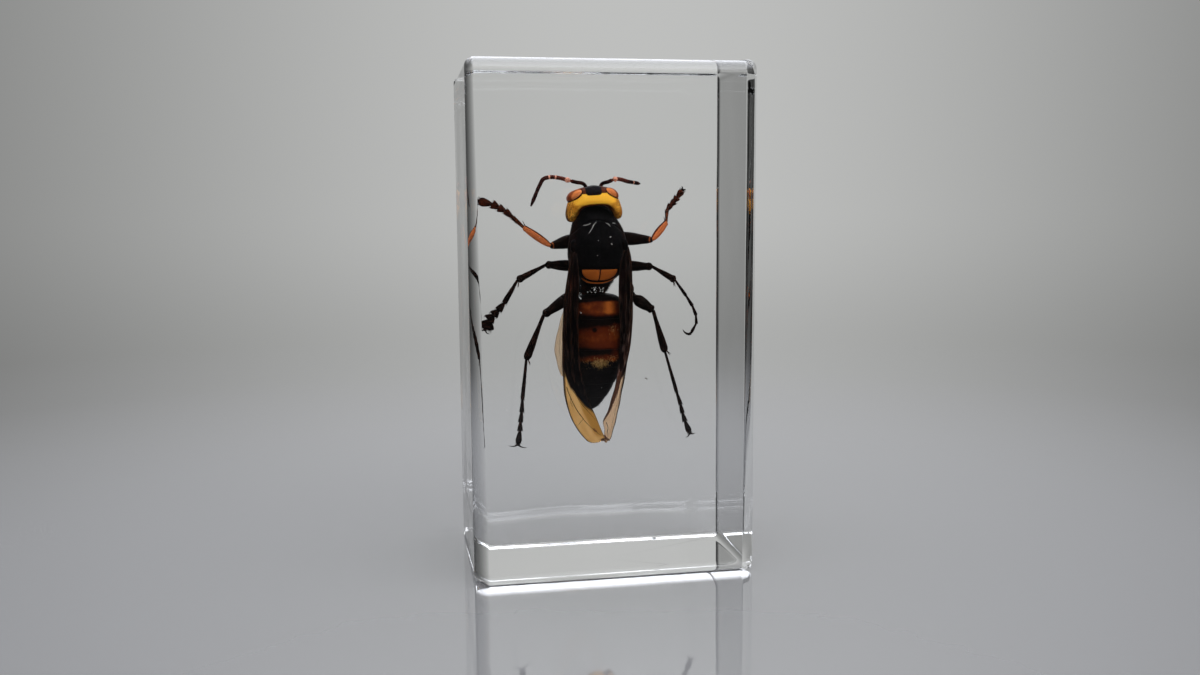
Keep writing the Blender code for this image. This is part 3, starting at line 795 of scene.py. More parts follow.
@dataclass
class Head:
    """The head capsule with eyes, clypeus, mandibles and ocelli, leaning a little to the insect's left."""

    middle_x: float = -1.68
    lean: float = 3.3
    pivot: Point = (-1.68, 0.0, 52.2)
    front: float = 56.05
    half_width: float = 4.13
    back_height: float = 3.3
    face_height: float = 4.2
    # run from the front over the rear lip into the neck, share of the full section, share of the length
    profile: Knots = (
        (0.0, 0.0, 0.0), (0.02, 0.26, 0.01), (0.06, 0.5, 0.04), (0.12, 0.68, 0.13), (0.22, 0.83, 0.29),
        (0.32, 0.91, 0.45), (0.44, 0.97, 0.62), (0.54, 1.0, 0.76), (0.62, 0.985, 0.88), (0.69, 0.93, 0.97),
        (0.75, 0.84, 1.0), (0.81, 0.73, 0.97), (0.88, 0.58, 0.72), (1.0, 0.16, 0.42))
    # sine of the turn round the head, from the back at -1 to the face's foot at 1, and the rear lip's height
    lip: Knots = (
        (-1.0, 53.34), (-0.86, 53.02), (-0.7, 52.36), (-0.48, 51.56), (0.0, 51.2), (0.5, 51.5), (1.0, 52.3))
    eye_path: Knots = (
        (2.12, -2.15, 55.0), (2.34, -1.3, 54.9), (2.56, -0.3, 54.84), (2.68, 0.8, 54.8), (2.64, 2.0, 54.8),
        (2.4, 3.05, 54.85))
    eye_half: Pair = (1.24, 0.86)
    eye_tilt: float = 30.0

    def build(self, bench: Bench) -> None:
        """Makes the pieces of the head."""
        turn = Matrix.Rotation(math.radians(-self.lean), 3, "Y")
        made = [("head_capsule", self.capsule(), HEAD_AMBER, ("head",)), ("ocelli", self.ocelli(), EYE_RED, ()),
                ("clypeus", self.clypeus(), HEAD_AMBER, ())]
        for side in Side:
            name = side.name.lower()
            made.append((name + "_eye", self.eye(side), EYE_RED, ()))
            made.append((name + "_mandible", self.mandible(side), HEAD_AMBER, ()))
        for name, shape, finish, nodes in made:
            bench.piece(name, shape.turned(self.pivot, turn), finish, Slot.AMBER, *nodes)

    def capsule(self) -> Shape:
        """The capsule: oval sections from the front to a rear lip, then in to the hollow of the neck.

        Each section is the full section times the profile's share; its height runs from the front to the
        lip, whose own height depends on the turn, so that the cheeks reach further back than the crown.
        """
        run = np.concatenate([np.linspace(0.0, 0.7, 110)[1:] ** 1.25 * 0.7 / 0.7**1.25, np.linspace(0.7, 1.0, 36)[1:]])
        turn = full_turn(168)[None]
        sine, cosine = np.sin(turn), np.cos(turn)
        size, share = np.moveaxis(through(self.profile, run), -1, 0)[:, :, None]
        run = run[:, None]
        lip = through(self.lip, sine)
        half_height = np.where(sine < 0.0, self.back_height, self.face_height)
        x = self.half_width * size * np.sign(cosine) * np.abs(cosine) ** 0.92
        y = half_height * size * np.sign(sine) * np.abs(sine) ** 0.92 + 0.25
        z = self.front + (lip - self.front) * share
        z = z + 0.22 * (bell(0.0, 1.1, x) * bell(-0.6, 1.6, y) * (run < 0.4))
        across = np.abs(x)
        crown = smooth_step(1.08, 0.92, (((x + 0.12) / 1.16) ** 6 + ((z - 56.0) / 1.2) ** 6) ** (1.0 / 6.0))
        crown = crown * smooth_step(1.6, 0.9, y)
        # the neck's hollow behind the rear lip goes near-black with the crown, as painted shade
        neck = smooth_step(0.765, 0.8, run)
        back = smooth_step(0.1, -0.3, sine)
        # bright: a lighter yellow middle of the crescent, partly a painted highlight
        bright = smooth_step(3.9, 2.2, across) * back * smooth_step(53.2, 53.9, z)
        speckle = smooth_step(2.2, 3.6, across) * 0.46 * (sine < 0.4)
        frons = smooth_step(54.95, 55.15, z) * back * (run < 0.5)
        edge = smooth_step(0.56, 0.72, run) * (0.55 + 0.45 * smooth_step(3.0, 1.5, across))
        # the temples' outer sides darken, as painted shade
        edge = edge + 0.6 * smooth_step(3.65, 4.05, across) * (z < 54.4)
        return Shape.solid(places(x + self.middle_x, y, z), crown=np.maximum(crown, neck), bright=bright,
                           speckle=speckle, frons=frons,
                           rim=held(np.maximum(edge, self._eye_shadow(x, y, z))))

    def _eye_frame(self, side: float) -> tuple[Array, Array]:
        """The eye's long and short way across its section: level, turned down outwards by the tilt."""
        tilt = math.radians(self.eye_tilt)
        return (np.array([side * math.cos(tilt), 0.0, -math.sin(tilt)]),
                np.array([side * math.sin(tilt), 0.0, math.cos(tilt)]))

    def _eye_shadow(self, x: Array, y: Array, z: Array) -> Array:
        """A painted shadow: a dark line where the eye meets the capsule, from the distance to the eye's middle line.
        """
        path = route(self.eye_path, 24)
        place = places(np.abs(x), y, z)[:, :, None] - path
        long_way, short_way = self._eye_frame(1.0)
        gap = np.sqrt((place @ long_way / self.eye_half[0]) ** 2 + (place @ short_way / self.eye_half[1]) ** 2
                      + (place[..., 1] / 0.95) ** 2)
        gap = (gap / np.maximum(self._eye_size(np.linspace(-1.0, 1.0, 24)), 0.05)).min(axis=-1)
        return smooth_step(1.16, 1.06, gap)

    @staticmethod
    def _eye_size(t: Array) -> Array:
        """Share of the eye's full section along it, from -1 to 1: round at both ends."""
        return np.maximum(1.0 - np.abs(t) ** 3.0, 0.0) ** 0.55

    def eye(self, side: Side) -> Shape:
        """A kidney: a tilted oval section carried along a bent line, rounded at both ends, with a waist."""
        path = route(self.eye_path, 72) * (side.value, 1.0, 1.0) + (self.middle_x, 0.0, 0.0)
        t = np.linspace(-1.0, 1.0, 72)
        size = self._eye_size(t) * (1.0 - 0.1 * bell(0.15, 0.3, t))
        long_way, short_way = self._eye_frame(side.value)
        turn = full_turn(56)[None]
        lean = np.array([0.06 * side.value, 0.0, 0.1]) * (1.0 - size[:, None, None])
        points = (path[:, None] + lean + (self.eye_half[0] * size[:, None] * np.cos(turn))[..., None] * long_way
                  + (self.eye_half[1] * size[:, None] * np.sin(turn))[..., None] * short_way)
        upper = smooth_step(0.1, -0.3, t)[:, None]
        # bright: a painted highlight, lighter orange at the upper end of the eye
        bright = smooth_step(0.93, 0.7, size)[:, None] * upper
        # rear: painted shade along the eye's rear edge; ring: a dark line across the eye
        rear = smooth_step(-0.3, -0.8, np.sin(turn)) * smooth_step(0.84, 0.97, size)[:, None]
        ring = smooth_step(0.965, 0.999, size)[:, None] * upper * 0.75 * smooth_step(-0.75, -0.45, t)[:, None]
        return Shape.solid(points, bright=bright, rim=np.maximum(rear, ring))

    def mandible(self, side: Side) -> Shape:
        """A stout jaw that narrows and turns in to a dark cutting edge."""
        path = route(((1.75, 3.3, 54.9), (1.85, 4.2, 54.9), (1.35, 5.0, 54.75), (0.35, 5.45, 54.55)), 40)
        path = path * (side.value, 1.0, 1.0) + (self.middle_x + side.value * 0.12, 0.0, 0.0)
        t = evenly(40)
        size = through(((0.0, 0.55), (0.15, 0.95), (0.5, 0.9), (0.85, 0.62), (1.0, 0.25)), t)
        return sweep(path, size * 0.55, size * 0.85, 28, (0.0, 0.0, 1.0), rim=smooth_step(0.55, 0.8, t))

    def clypeus(self) -> Shape:
        """The face's lower plate, a low bulge with a scalloped lower edge."""
        across = np.linspace(-1.0, 1.0, 48)[None]
        down = evenly(40)[:, None]
        half = through(((0.0, 1.0), (0.4, 1.75), (0.75, 1.7), (1.0, 1.1)), down)
        lower = 0.16 * np.cos(across * 2.0 * math.pi) * down
        x = half * across + self.middle_x
        y = 1.2 + 3.1 * down + lower
        bulge = (1.0 - across**2) * np.sin(math.pi * np.clip(down, 0.02, 0.98)) ** 0.6
        z = 55.35 + 0.55 * bulge - 0.55 * down**2
        back = places(x, y, np.minimum(z - 0.05, 55.1))[:, ::-1]
        edge = np.tile(np.abs(across) ** 6, 2)
        return Shape.solid(np.concatenate([places(x, y, z), back], axis=1), rim=edge, bright=0.8)

    def ocelli(self) -> Shape:
        """Three small domes on the dark crown."""
        domes = ((0.0, -2.3, 55.3), (-0.42, -2.62, 54.95), (0.42, -2.62, 54.95))
        return Shape.joined([oval((self.middle_x + x, y, z), (0.16, 0.14, 0.16), 10, 16, rim=0.8)
                             for x, y, z in domes])


@dataclass
class Antenna:
    """A feeler: a bent scape, a pale pedicel and a ringed lash."""

    name: str
    points: Knots
    scape_share: float
    glint_rings: tuple[float, ...]
    radius: float = 0.27
    rings: int = 11
    samples: int = 260

    def build(self, bench: Bench) -> None:
        """Makes the feeler as one tube whose radius steps at each ring."""
        path = route(self.points, self.samples)
        t = evenly(self.samples)
        on_scape = smooth_step(self.scape_share, self.scape_share - 0.02, t)
        lash = held((t - self.scape_share) / (1.0 - self.scape_share))
        phase = (lash * self.rings) % 1.0
        step = 1.0 + 0.07 * (phase - 0.5) - 0.16 * smooth_step(0.93, 1.0, phase) * (lash < 0.97)
        waist = 1.0 - 0.35 * bell(self.scape_share, 0.012, t) - 0.25 * bell(0.0, 0.02, t)
        bead = 1.0 + 0.35 * bell(self.scape_share + 0.045, 0.022, t)
        taper = through(((0.0, 0.95), (0.25, 1.05), (0.8, 1.0), (0.95, 0.85), (1.0, 0.35)), t)
        radius = self.radius * waist * bead * taper * (on_scape + (1.0 - on_scape) * step)
        pale = bell(self.scape_share + 0.045, 0.04, t)
        # the pale rings along the lash are painted highlights
        for ring in self.glint_rings:
            pale = np.maximum(pale, bell(ring, 0.012, t))
        red = held(1.0 - lash * 1.6) * (1.0 - on_scape) * 0.8 + 0.25
        shape = sweep(path, radius, radius, 20, (0.0, 1.0, 0.2), pale=pale, red=red)
        bench.piece(self.name, shape, ANTENNA_BROWN, Slot.DARK, self.name)


@dataclass
class Thorax:
    """The middle body: collar, shield, scutellum in two orange plates, rear slope, with wing scales."""

    middle: Knots = (
        (40.1, -1.95), (41.2, -1.86), (42.2, -1.6), (43.0, -1.42), (44.0, -1.34), (47.0, -1.26), (50.0, -1.33),
        (51.5, -1.58), (53.5, -1.95))
    # height, half width, back height, belly height
    section: Knots = (
        (40.15, 0.25, 0.25, 0.25), (40.4, 1.45, 1.05, 1.3), (40.8, 1.8, 1.45, 1.8), (41.25, 2.0, 1.75, 2.05),
        (41.75, 2.15, 2.25, 2.45), (42.25, 2.35, 2.75, 2.75), (42.8, 2.75, 3.25, 3.0), (43.5, 3.48, 3.75, 3.25),
        (44.4, 4.02, 4.08, 3.45), (45.5, 4.28, 4.28, 3.6), (46.8, 4.36, 4.34, 3.65), (48.0, 4.26, 4.22, 3.6),
        (49.0, 4.08, 3.98, 3.4), (50.0, 3.78, 3.62, 3.1), (50.9, 3.42, 3.22, 2.75), (51.6, 3.05, 2.88, 2.35),
        (52.3, 2.6, 2.45, 1.9), (52.9, 1.98, 1.95, 1.4), (53.3, 1.2, 1.25, 0.9), (53.45, 0.3, 0.3, 0.3))
    plate_top: float = 44.28
    plate_bottom: float = 42.62
    plate_half_width: float = 2.55
    # loose pale hairs on the shield, whose pale colour is a painted highlight, as routes of x and z
    glint_hair_routes: tuple[Knots, ...] = (
        ((-1.75, 51.05), (-2.15, 50.6), (-2.45, 50.05), (-2.9, 49.4)), ((-0.4, 50.9), (0.0, 50.7), (0.3, 50.35)),
        ((-3.6, 50.55), (-3.1, 50.62), (-2.55, 50.85)), ((-1.62, 48.45), (-1.58, 48.38)),
        ((0.25, 48.0), (0.45, 47.75)), ((-1.8, 46.3), (-1.7, 46.24)), ((0.1, 48.85), (0.3, 48.92)),
        ((0.6, 50.85), (1.15, 50.8)))

    def build(self, bench: Bench) -> None:
        """Makes the pieces of the thorax."""
        bench.piece("thorax_shell", self.shell(), THORAX_BLACK, Slot.DARK, "thorax")
        for side in Side:
            name = side.name.lower()
            bench.piece(name + "_wing_scale", self.wing_scale(side), THORAX_BLACK, Slot.DARK)
        bench.piece("thorax_hair", self.hair(), HAIR_BROWN, Slot.DARK)
        bench.piece("glint_hairs", self.glint_hairs(), HAIR_PALE_GLINT, Slot.DARK)
        bench.piece("waist_beads", self.beads(), AIR_BEAD, Slot.DARK)

    def plate(self, u: Array, z: Array) -> Array:
        """How far inside the scutellum's disc a place is: straight along its top, a flat oval below."""
        down = (self.plate_top - z) / (self.plate_top - self.plate_bottom)
        edge = self.plate_half_width * np.sqrt(held(1.0 - held(down) ** 2.4))
        inside = smooth_step(0.0, 0.16, edge - np.abs(u)) * smooth_step(-0.03, 0.04, down)
        return inside * smooth_step(1.0, 0.92, down)

    def back_height(self, x: Array, z: Array) -> Array:
        """The back's y at a place: the upper half of the section's oval."""
        half_width, back, _ = np.moveaxis(through(self.section, z), -1, 0)
        share = np.clip((x - through(self.middle, z)) / half_width, -0.98, 0.98)
        return -back * np.sqrt(1.0 - share**2)

    def shell(self) -> Shape:
        """The shell: oval sections along z, moved out and in by plates and grooves."""
        z = np.linspace(40.17, 53.43, 256)[:, None]
        turn = full_turn(240)[None]
        half_width, back, belly = np.moveaxis(through(self.section, z[:, 0]), -1, 0)[:, :, None]
        sine, cosine = np.sin(turn), np.cos(turn)
        u = half_width * cosine
        dorsal = smooth_step(0.1, -0.45, sine)
        across = np.abs(u)
        collar = bell(0.0, 0.1, z - (51.25 - 0.13 * across**2.0)) * dorsal
        middle_groove = bell(0.0, 0.09, u) * dorsal * smooth_step(44.5, 45.2, z) * smooth_step(50.9, 49.5, z)
        side_grooves = bell(1.9, 0.1, across) * dorsal * smooth_step(44.6, 45.4, z) * smooth_step(48.6, 47.2, z)
        front_grooves = bell(1.25 + 0.14 * (50.6 - z), 0.09, across) * dorsal * smooth_step(48.6, 49.4, z)
        front_grooves = front_grooves * (z < 50.8)
        cross_groove = bell(self.plate_top + 0.14, 0.1, z) * dorsal
        plate = self.plate(u, z) * dorsal
        centre_line = bell(0.0, 0.085, u) * (z < self.plate_top + 0.1) * (z > self.plate_bottom - 0.1) * dorsal
        arc = (self.plate_bottom - 0.34) + 0.9 * (across / self.plate_half_width) ** 2.8
        rear_plate = bell(0.0, 0.12, z - arc) * smooth_step(2.6, 2.2, across) * dorsal
        flank = (1.0 - dorsal) * smooth_step(0.8, 0.2, sine)
        seams = bell(0.0, 0.1, z - (48.3 + 0.9 * sine)) + bell(0.0, 0.1, z - (45.6 - 0.8 * sine))
        folds = 0.02 * np.sin(z * 14.0) * smooth_step(42.2, 41.6, z)
        dome = plate * 0.12 * held(1.0 - ((across - 1.2) / 1.3) ** 2)
        lift = (0.24 * plate + dome + 0.14 * rear_plate + folds - 0.1 * collar - 0.05 * middle_groove
                - 0.06 * side_grooves - 0.05 * front_grooves - 0.16 * cross_groove - 0.16 * centre_line * plate
                - 0.1 * seams * flank)
        height = np.where(sine < 0.0, back, belly)
        x = through(self.middle, z[:, 0])[:, None] + u * (1.0 + lift / np.maximum(half_width, 1.0))
        y = height * sine * (1.0 + lift / np.maximum(height, 1.0))
        shade = 0.62 + 0.38 * smooth_step(self.plate_top, self.plate_top - 0.5, z)
        orange = np.maximum(plate * (1.0 - centre_line) * shade, rear_plate)
        brown = smooth_step(0.55, 0.95, np.abs(cosine)) * 0.4 + 0.4 * smooth_step(42.4, 41.5, z)
        return Shape.solid(places(x, y, z), orange=orange, brown=np.clip(brown, 0.0, 0.8),
                           groove=held(centre_line * plate))

    def wing_scale(self, side: Side) -> Shape:
        """The small shell that covers a wing's root."""
        tilt = Matrix.Rotation(side.value * 0.5, 3, "Z")
        centre = (-1.24 + side.value * 3.56, -2.05, 47.6)
        return oval(centre, (0.62, 0.8, 1.0), 28, 36, tilt, brown=0.25)

    def hair(self) -> Shape:
        """Fine short hair that leans to the rear, and a longer tuft each side of the waist."""
        rng = np.random.default_rng(11)
        count, tuft = 2400, 700
        z = np.concatenate([rng.uniform(42.2, 52.6, count), rng.uniform(40.95, 42.6, tuft)])
        flank = math.pi * (1.5 + 0.36 * rng.choice([-1.0, 1.0], tuft)) + rng.normal(0.0, 0.16, tuft)
        turn = np.concatenate([rng.uniform(math.pi, 2.0 * math.pi, count) + rng.normal(0.0, 0.25, count), flank])
        half_width, back, belly = through(self.section, z).T
        height = np.where(np.sin(turn) < 0.0, back, belly)
        root = places(through(self.middle, z) + half_width * np.cos(turn), height * np.sin(turn), z)
        out = unit(places(np.cos(turn) / half_width, np.sin(turn) / height, 0.0))
        lean = places(*(rng.normal(rest, 0.3, len(z)) for rest in (0.0, 0.0, -0.5)))
        length = np.concatenate([rng.uniform(0.08, 0.22, count), rng.uniform(0.15, 0.42, tuft)])
        return thorns(root, out + lean, length, 0.01)

    def glint_hairs(self) -> Shape:
        """A few loose pale hairs that lie on the shield; their pale colour is a painted highlight."""
        shapes = []
        for row in self.glint_hair_routes:
            x, z = route(row, 24).T
            size = 0.04 * np.sqrt(held(1.0 - np.linspace(-1.0, 1.0, 24) ** 2)) + 0.01
            shapes.append(sweep(places(x, self.back_height(x, z) - 0.05, z), size, size, 8, (0.2, 1.0, 0.1)))
        return Shape.joined(shapes)

    def beads(self) -> Shape:
        """Tiny beads of air caught at the waist and along the left wing's inner edge."""
        rng = np.random.default_rng(5)
        beads = []
        for number in range(31):
            if number < 24:
                x = -1.3 + rng.uniform(-1.7, 1.0)
                place = (x, -2.55 + 0.25 * abs(x + 1.3) + rng.uniform(-0.1, 0.1), 41.25 + rng.uniform(-0.35, 0.45))
            else:
                place = (-4.25 + rng.uniform(-0.15, 0.15), -3.7, rng.uniform(38.0, 42.2))
            size = rng.uniform(0.03, 0.085)
            beads.append(oval(place, (size * rng.uniform(0.7, 1.5), size, size * rng.uniform(0.7, 1.5)), 8, 12))
        return Shape.joined(beads)


@dataclass
class Abdomen:
    """The rear body: six ringed plates, striped, with a fringe of golden hair."""

    front: Point = (-1.35, 0.0, 40.75)
    tip: Point = (-2.25, 1.25, 23.45)
    flatness: float = 0.86
    # rear height, rear half width and half width at the middle of each plate
    plates: Knots = (
        (37.1, 4.3, 3.95), (32.6, 4.45, 4.5), (29.9, 4.08, 4.38), (27.5, 3.3, 3.75), (25.4, 2.15, 2.8),
        (23.9, 0.9, 1.6))
    ledge: float = 0.13

    def outline(self, z: Array) -> Array:
        """Half width at a height: a smooth curve through the plates, with a step under each rear edge."""
        knots = [(self.tip[2], 0.02), (self.tip[2] + 0.15, 0.42), (39.9, 3.35), (40.3, 2.85), (40.55, 2.2),
                 (self.front[2], 0.9)]
        front = self.front[2] - 0.55
        for rear, rear_size, middle_size in self.plates:
            knots += [(rear, rear_size), (0.5 * (rear + front), middle_size)]
            front = rear
        size = through(sorted(knots), z)
        for rear, _, _ in self.plates:
            under = smooth_step(rear + 0.02, rear - 0.02, z) * np.exp(-np.clip(rear - z, 0.0, None) / 0.8)
            size = size - self.ledge * under * np.clip(size / 3.0, 0.2, 1.0)
        return size

    def point(self, z: Array, turn: Array, lift: Array | float = 0.0) -> Array:
        """The surface's place at a height and a turn, lifted off it."""
        size = self.outline(z) + lift
        share = (self.front[2] - z) / (self.front[2] - self.tip[2])
        x = self.front[0] + (self.tip[0] - self.front[0]) * share + size * np.cos(turn)
        y = self.front[1] + (self.tip[1] - self.front[1]) * share + self.flatness * size * np.sin(turn)
        return places(x, y, z)

    def build(self, bench: Bench) -> None:
        """Makes the pieces of the abdomen."""
        bench.piece("abdomen_shell", self.shell(), ABDOMEN_BANDS, Slot.BANDED, "abdomen")
        bench.piece("golden_fringe", self.fringe(), HAIR_GOLD, Slot.BANDED)
        bench.piece("abdomen_hair", self.hair(), HAIR_BROWN, Slot.BANDED)

    def shell(self) -> Shape:
        """The turned outline, flattened, with its bands as masks by height and turn, and painted shade on its flanks
        and left side.
        """
        even = np.linspace(self.tip[2] + 0.01, self.front[2] - 0.02, 330)
        steps = np.concatenate([np.linspace(rear - 0.03, rear + 0.03, 5) for rear, _, _ in self.plates])
        z = np.unique(np.concatenate([even, steps]))[:, None]
        turn = full_turn(192)[None]
        back = smooth_step(0.15, -0.5, np.sin(turn))
        sideways = np.abs(np.cos(turn))
        x = self.point(z, turn)[..., 0]
        first = smooth_step(37.45, 38.2, z) * smooth_step(40.2, 39.2, z)
        patches = 0.66 * bell(0.05, 0.7, x) + 0.16 * bell(-3.0, 0.6, x) * bell(39.0, 0.4, z)
        # the extra orange right of the middle on the second and third plates is a painted highlight
        orange = first * (0.18 + patches) + (0.28 + 0.26 * bell(0.9, 0.8, x)) * bell(31.1, 0.36, z)
        orange = orange + 0.2 * bell(34.3, 0.75, z) + 0.24 * bell(0.9, 0.8, x) * bell(35.2, 0.8, z)
        # the flanks lose their orange and darken below, as painted shade
        orange = orange * smooth_step(0.96, 0.62, sideways)
        red = smooth_step(30.7, 31.5, z) * smooth_step(40.5, 39.9, z) * smooth_step(0.98, 0.7, sideways)
        # right: the bands darken less on the right, as painted light, and the left side darkens, as painted shade
        right = smooth_step(-0.2, 1.2, x)
        dark = 1.05 * bell(37.05, 0.7, z) + (0.95 - 0.45 * right) * bell(32.3, 0.66, z)
        dark = dark + 0.6 * smooth_step(0.66, 0.95, sideways) + 0.34 * smooth_step(-1.6, -4.0, x)
        dark = dark + (0.5 - 0.3 * right) * smooth_step(34.9, 36.3, z) * smooth_step(37.2, 36.8, z)
        dark = dark + smooth_step(39.3, 39.95, z)
        spot = np.hypot(x + 2.15, z - 35.5)
        dark = dark + 0.7 * smooth_step(0.55, 0.1, spot) * back
        waves = 0.02 * np.sin(z * 9.0) * back * smooth_step(30.0, 28.0, z)
        return Shape.solid(self.point(z, turn, waves), red=held(red * (0.7 + 0.3 * back)), orange=held(orange),
                           dark=held(dark))

    def fringe(self) -> Shape:
        """Golden hair that lies back from the third plate's middle, and glints right of it and of the second."""
        rng = np.random.default_rng(3)
        count, sparse, glints = 430, 100, 110
        high = np.arange(glints) < 62
        z = np.concatenate([rng.normal(30.75, 0.28, count), rng.normal(30.9, 0.4, sparse),
                            np.where(high, 35.6, 31.45) + rng.normal(0.0, 0.35, glints) * np.where(high, 1.0, 0.5)])
        turn = 1.5 * math.pi + np.concatenate([rng.normal(0.12, 0.14, count), rng.normal(0.08, 0.36, sparse),
                                               np.where(high, 0.5, 0.6) + rng.normal(0.0, 0.11, glints)])
        total = len(z)
        out = places(np.cos(turn), np.sin(turn), 0.0)
        lean = places(rng.normal(0.0, 0.45, total), 0.0, rng.normal(-1.3, 0.4, total))
        length = np.concatenate([rng.uniform(0.25, 0.6, count), rng.uniform(0.15, 0.35, sparse),
                                 rng.uniform(0.12, 0.3, glints)])
        bend = places(rng.normal(0.0, 0.1, total), rng.normal(0.0, 0.05, total), 0.0)
        return thorns(self.point(z, turn), out * 0.35 + lean, length, rng.uniform(0.01, 0.022, total), bend)

    def hair(self) -> Shape:
        """Short dark hair over the whole abdomen, denser towards its tip."""
        rng = np.random.default_rng(7)
        count = 2200
        z = self.tip[2] + 0.4 + (40.0 - self.tip[2]) * rng.uniform(0.0, 1.0, count) ** 1.3
        turn = rng.uniform(0.0, 2.0 * math.pi, count)
        out = places(np.cos(turn), np.sin(turn), 0.0)
        lean = places(rng.normal(0.0, 0.2, count), 0.0, rng.normal(-1.0, 0.3, count))
        return thorns(self.point(z, turn), out * 0.6 + lean, rng.uniform(0.12, 0.3, count), 0.009)


@dataclass
class Wing:
    """A folded wing: a thin bulged sheet between its two edges, with its veins.

    Attributes:
        name: The piece's name and its solid's.
        rows: From the root to the tip: height, then x and y of the front edge and of the rear one, and
            how much higher the rear edge is.
        skin: The sheet's finish.
        veins: Each as places along and across the sheet, and its radius.
        bulge: How far the sheet's middle stands out for each unit of its width.
        clearing: Where along the sheet the smoke starts and stops fading.
        slant: How much further along it fades at the rear edge than at the front one.
        local_veins: Veins of the see-through part, as routes of x and z, and their radius.
        stains: Brown stains, as routes of x, z and half width.
        thickness: The sheet's thickness, in millimetres.
    """

    name: str
    rows: Knots
    skin: Membrane
    veins: tuple[tuple[Knots, float], ...]
    bulge: float
    clearing: Pair
    slant: float = 0.0
    local_veins: tuple[tuple[Knots, float], ...] = ()
    stains: tuple[Knots, ...] = ()
    thickness: float = 0.035

    def edges(self) -> tuple[Array, Array, Array]:
        """Each row's share along the wing, and its places on the front edge and on the rear one."""
        z, front_x, front_y, rear_x, rear_y, higher = np.array([(*row, 0.0)[:6] for row in self.rows]).T
        return evenly(len(z)), places(front_x, front_y, z), places(rear_x, rear_y, z + higher)

    def surface(self, along: Array, across: Array) -> Array:
        """The sheet's place at a share along and a share across it.

        The two edges are smooth curves through their rows. A point lies between them, moved out by the
        bulge times a parabola across, with soft waves, and the edges close round the tip.
        """
        stations, *edges = self.edges()
        front, rear = (through(np.column_stack([stations, edge]), along) for edge in edges)
        rounding = np.sqrt(held(1.0 - held((along - 0.955) / 0.045) ** 2.4))[..., None]
        middle = 0.5 * (front + rear)
        front, rear = middle + (front - middle) * rounding, middle + (rear - middle) * rounding
        edge = rear - front
        width = np.linalg.norm(edge, axis=-1, keepdims=True)
        out = unit(places(edge[..., 1], -edge[..., 0], 0.0))
        out = out * np.where(out[..., 1:2] > 0.0, -1.0, 1.0)
        share = across[..., None]
        waves = 0.05 * np.sin(share * 19.0) + 0.04 * np.sin(along[..., None] * 40.0 + share * 5.0)
        return front + edge * share + out * (4.0 * self.bulge * width * share * (1.0 - share)
                                             + waves * np.minimum(width, 1.0))

    def build(self, bench: Bench) -> None:
        """Makes the skin and the veins."""
        along, across = np.meshgrid(evenly(200), evenly(44), indexing="ij")
        start, end = self.clearing
        points = self.surface(along, across)
        smoky = smooth_step(end, start, along - self.slant * across) + 0.7 * smooth_step(0.08, 0.01, across)
        inner = smooth_step(0.45, 0.75, across) * smooth_step(end + self.slant + 0.22, end + self.slant, along)
        sheet = Shape.grid(points, smoky=held(smoky), stain=self.stain(points), inner=inner,
                           root=smooth_step(0.16, 0.06, along))
        skin = bench.piece(self.name, sheet, self.skin, Slot.WING, self.name)
        shell = skin.modifiers.new("thickness", "SOLIDIFY")
        shell.thickness = self.thickness * MM
        shell.offset = 0.0
        tubes = [self.vein(route(stops, 90), radius) for stops, radius in self.veins]
        tubes += [self.vein(self.shares(*route(stops, 60).T), radius) for stops, radius in self.local_veins]
        bench.piece(self.name + "_veins", Shape.joined(tubes), VEIN_BROWN, Slot.WING)

    def vein(self, shares: Array, radius: float) -> Shape:
        """A tube on the sheet along shares along and across it, thinning to its end."""
        path = self.surface(np.clip(shares[:, 0], 0.0, 0.985), held(shares[:, 1]))
        size = radius * (1.0 - 0.55 * smooth_step(0.5, 1.0, evenly(len(path))))
        return sweep(path, size, size, 10, (0.3, 1.0, 0.0))

    def shares(self, x: Array, z: Array) -> Array:
        """The shares along and across the sheet at a place seen from the back, between its straight rows."""
        stations, front, rear = self.edges()
        along = np.interp(-z, -front[:, 2], stations)
        ahead, behind = (np.interp(along, stations, edge[:, 0]) for edge in (front, rear))
        return np.column_stack([along, held((x - ahead) / (behind - ahead))])

    def stain(self, points: Array) -> Array:
        """How stained each point is: full within half a stain's half width of its route, none beyond it."""
        mask = np.zeros(points.shape[:2])
        for row in self.stains:
            way = route(row, 40)
            gap = np.hypot(points[..., 0, None] - way[:, 0], points[..., 2, None] - way[:, 1]) / way[:, 2]
            mask = np.maximum(mask, smooth_step(1.15, 0.5, gap.min(axis=-1)))
        return mask


@dataclass(frozen=True)
class LegBuild:
    """Half thicknesses of a pair of legs, the shapes of femur and tibia, and how much orange they have."""

    coxa: float
    femur: float
    tibia: float
    foot: float
    orange: float
    spurs: int
    femur_shape: Knots
    tibia_shape: Knots


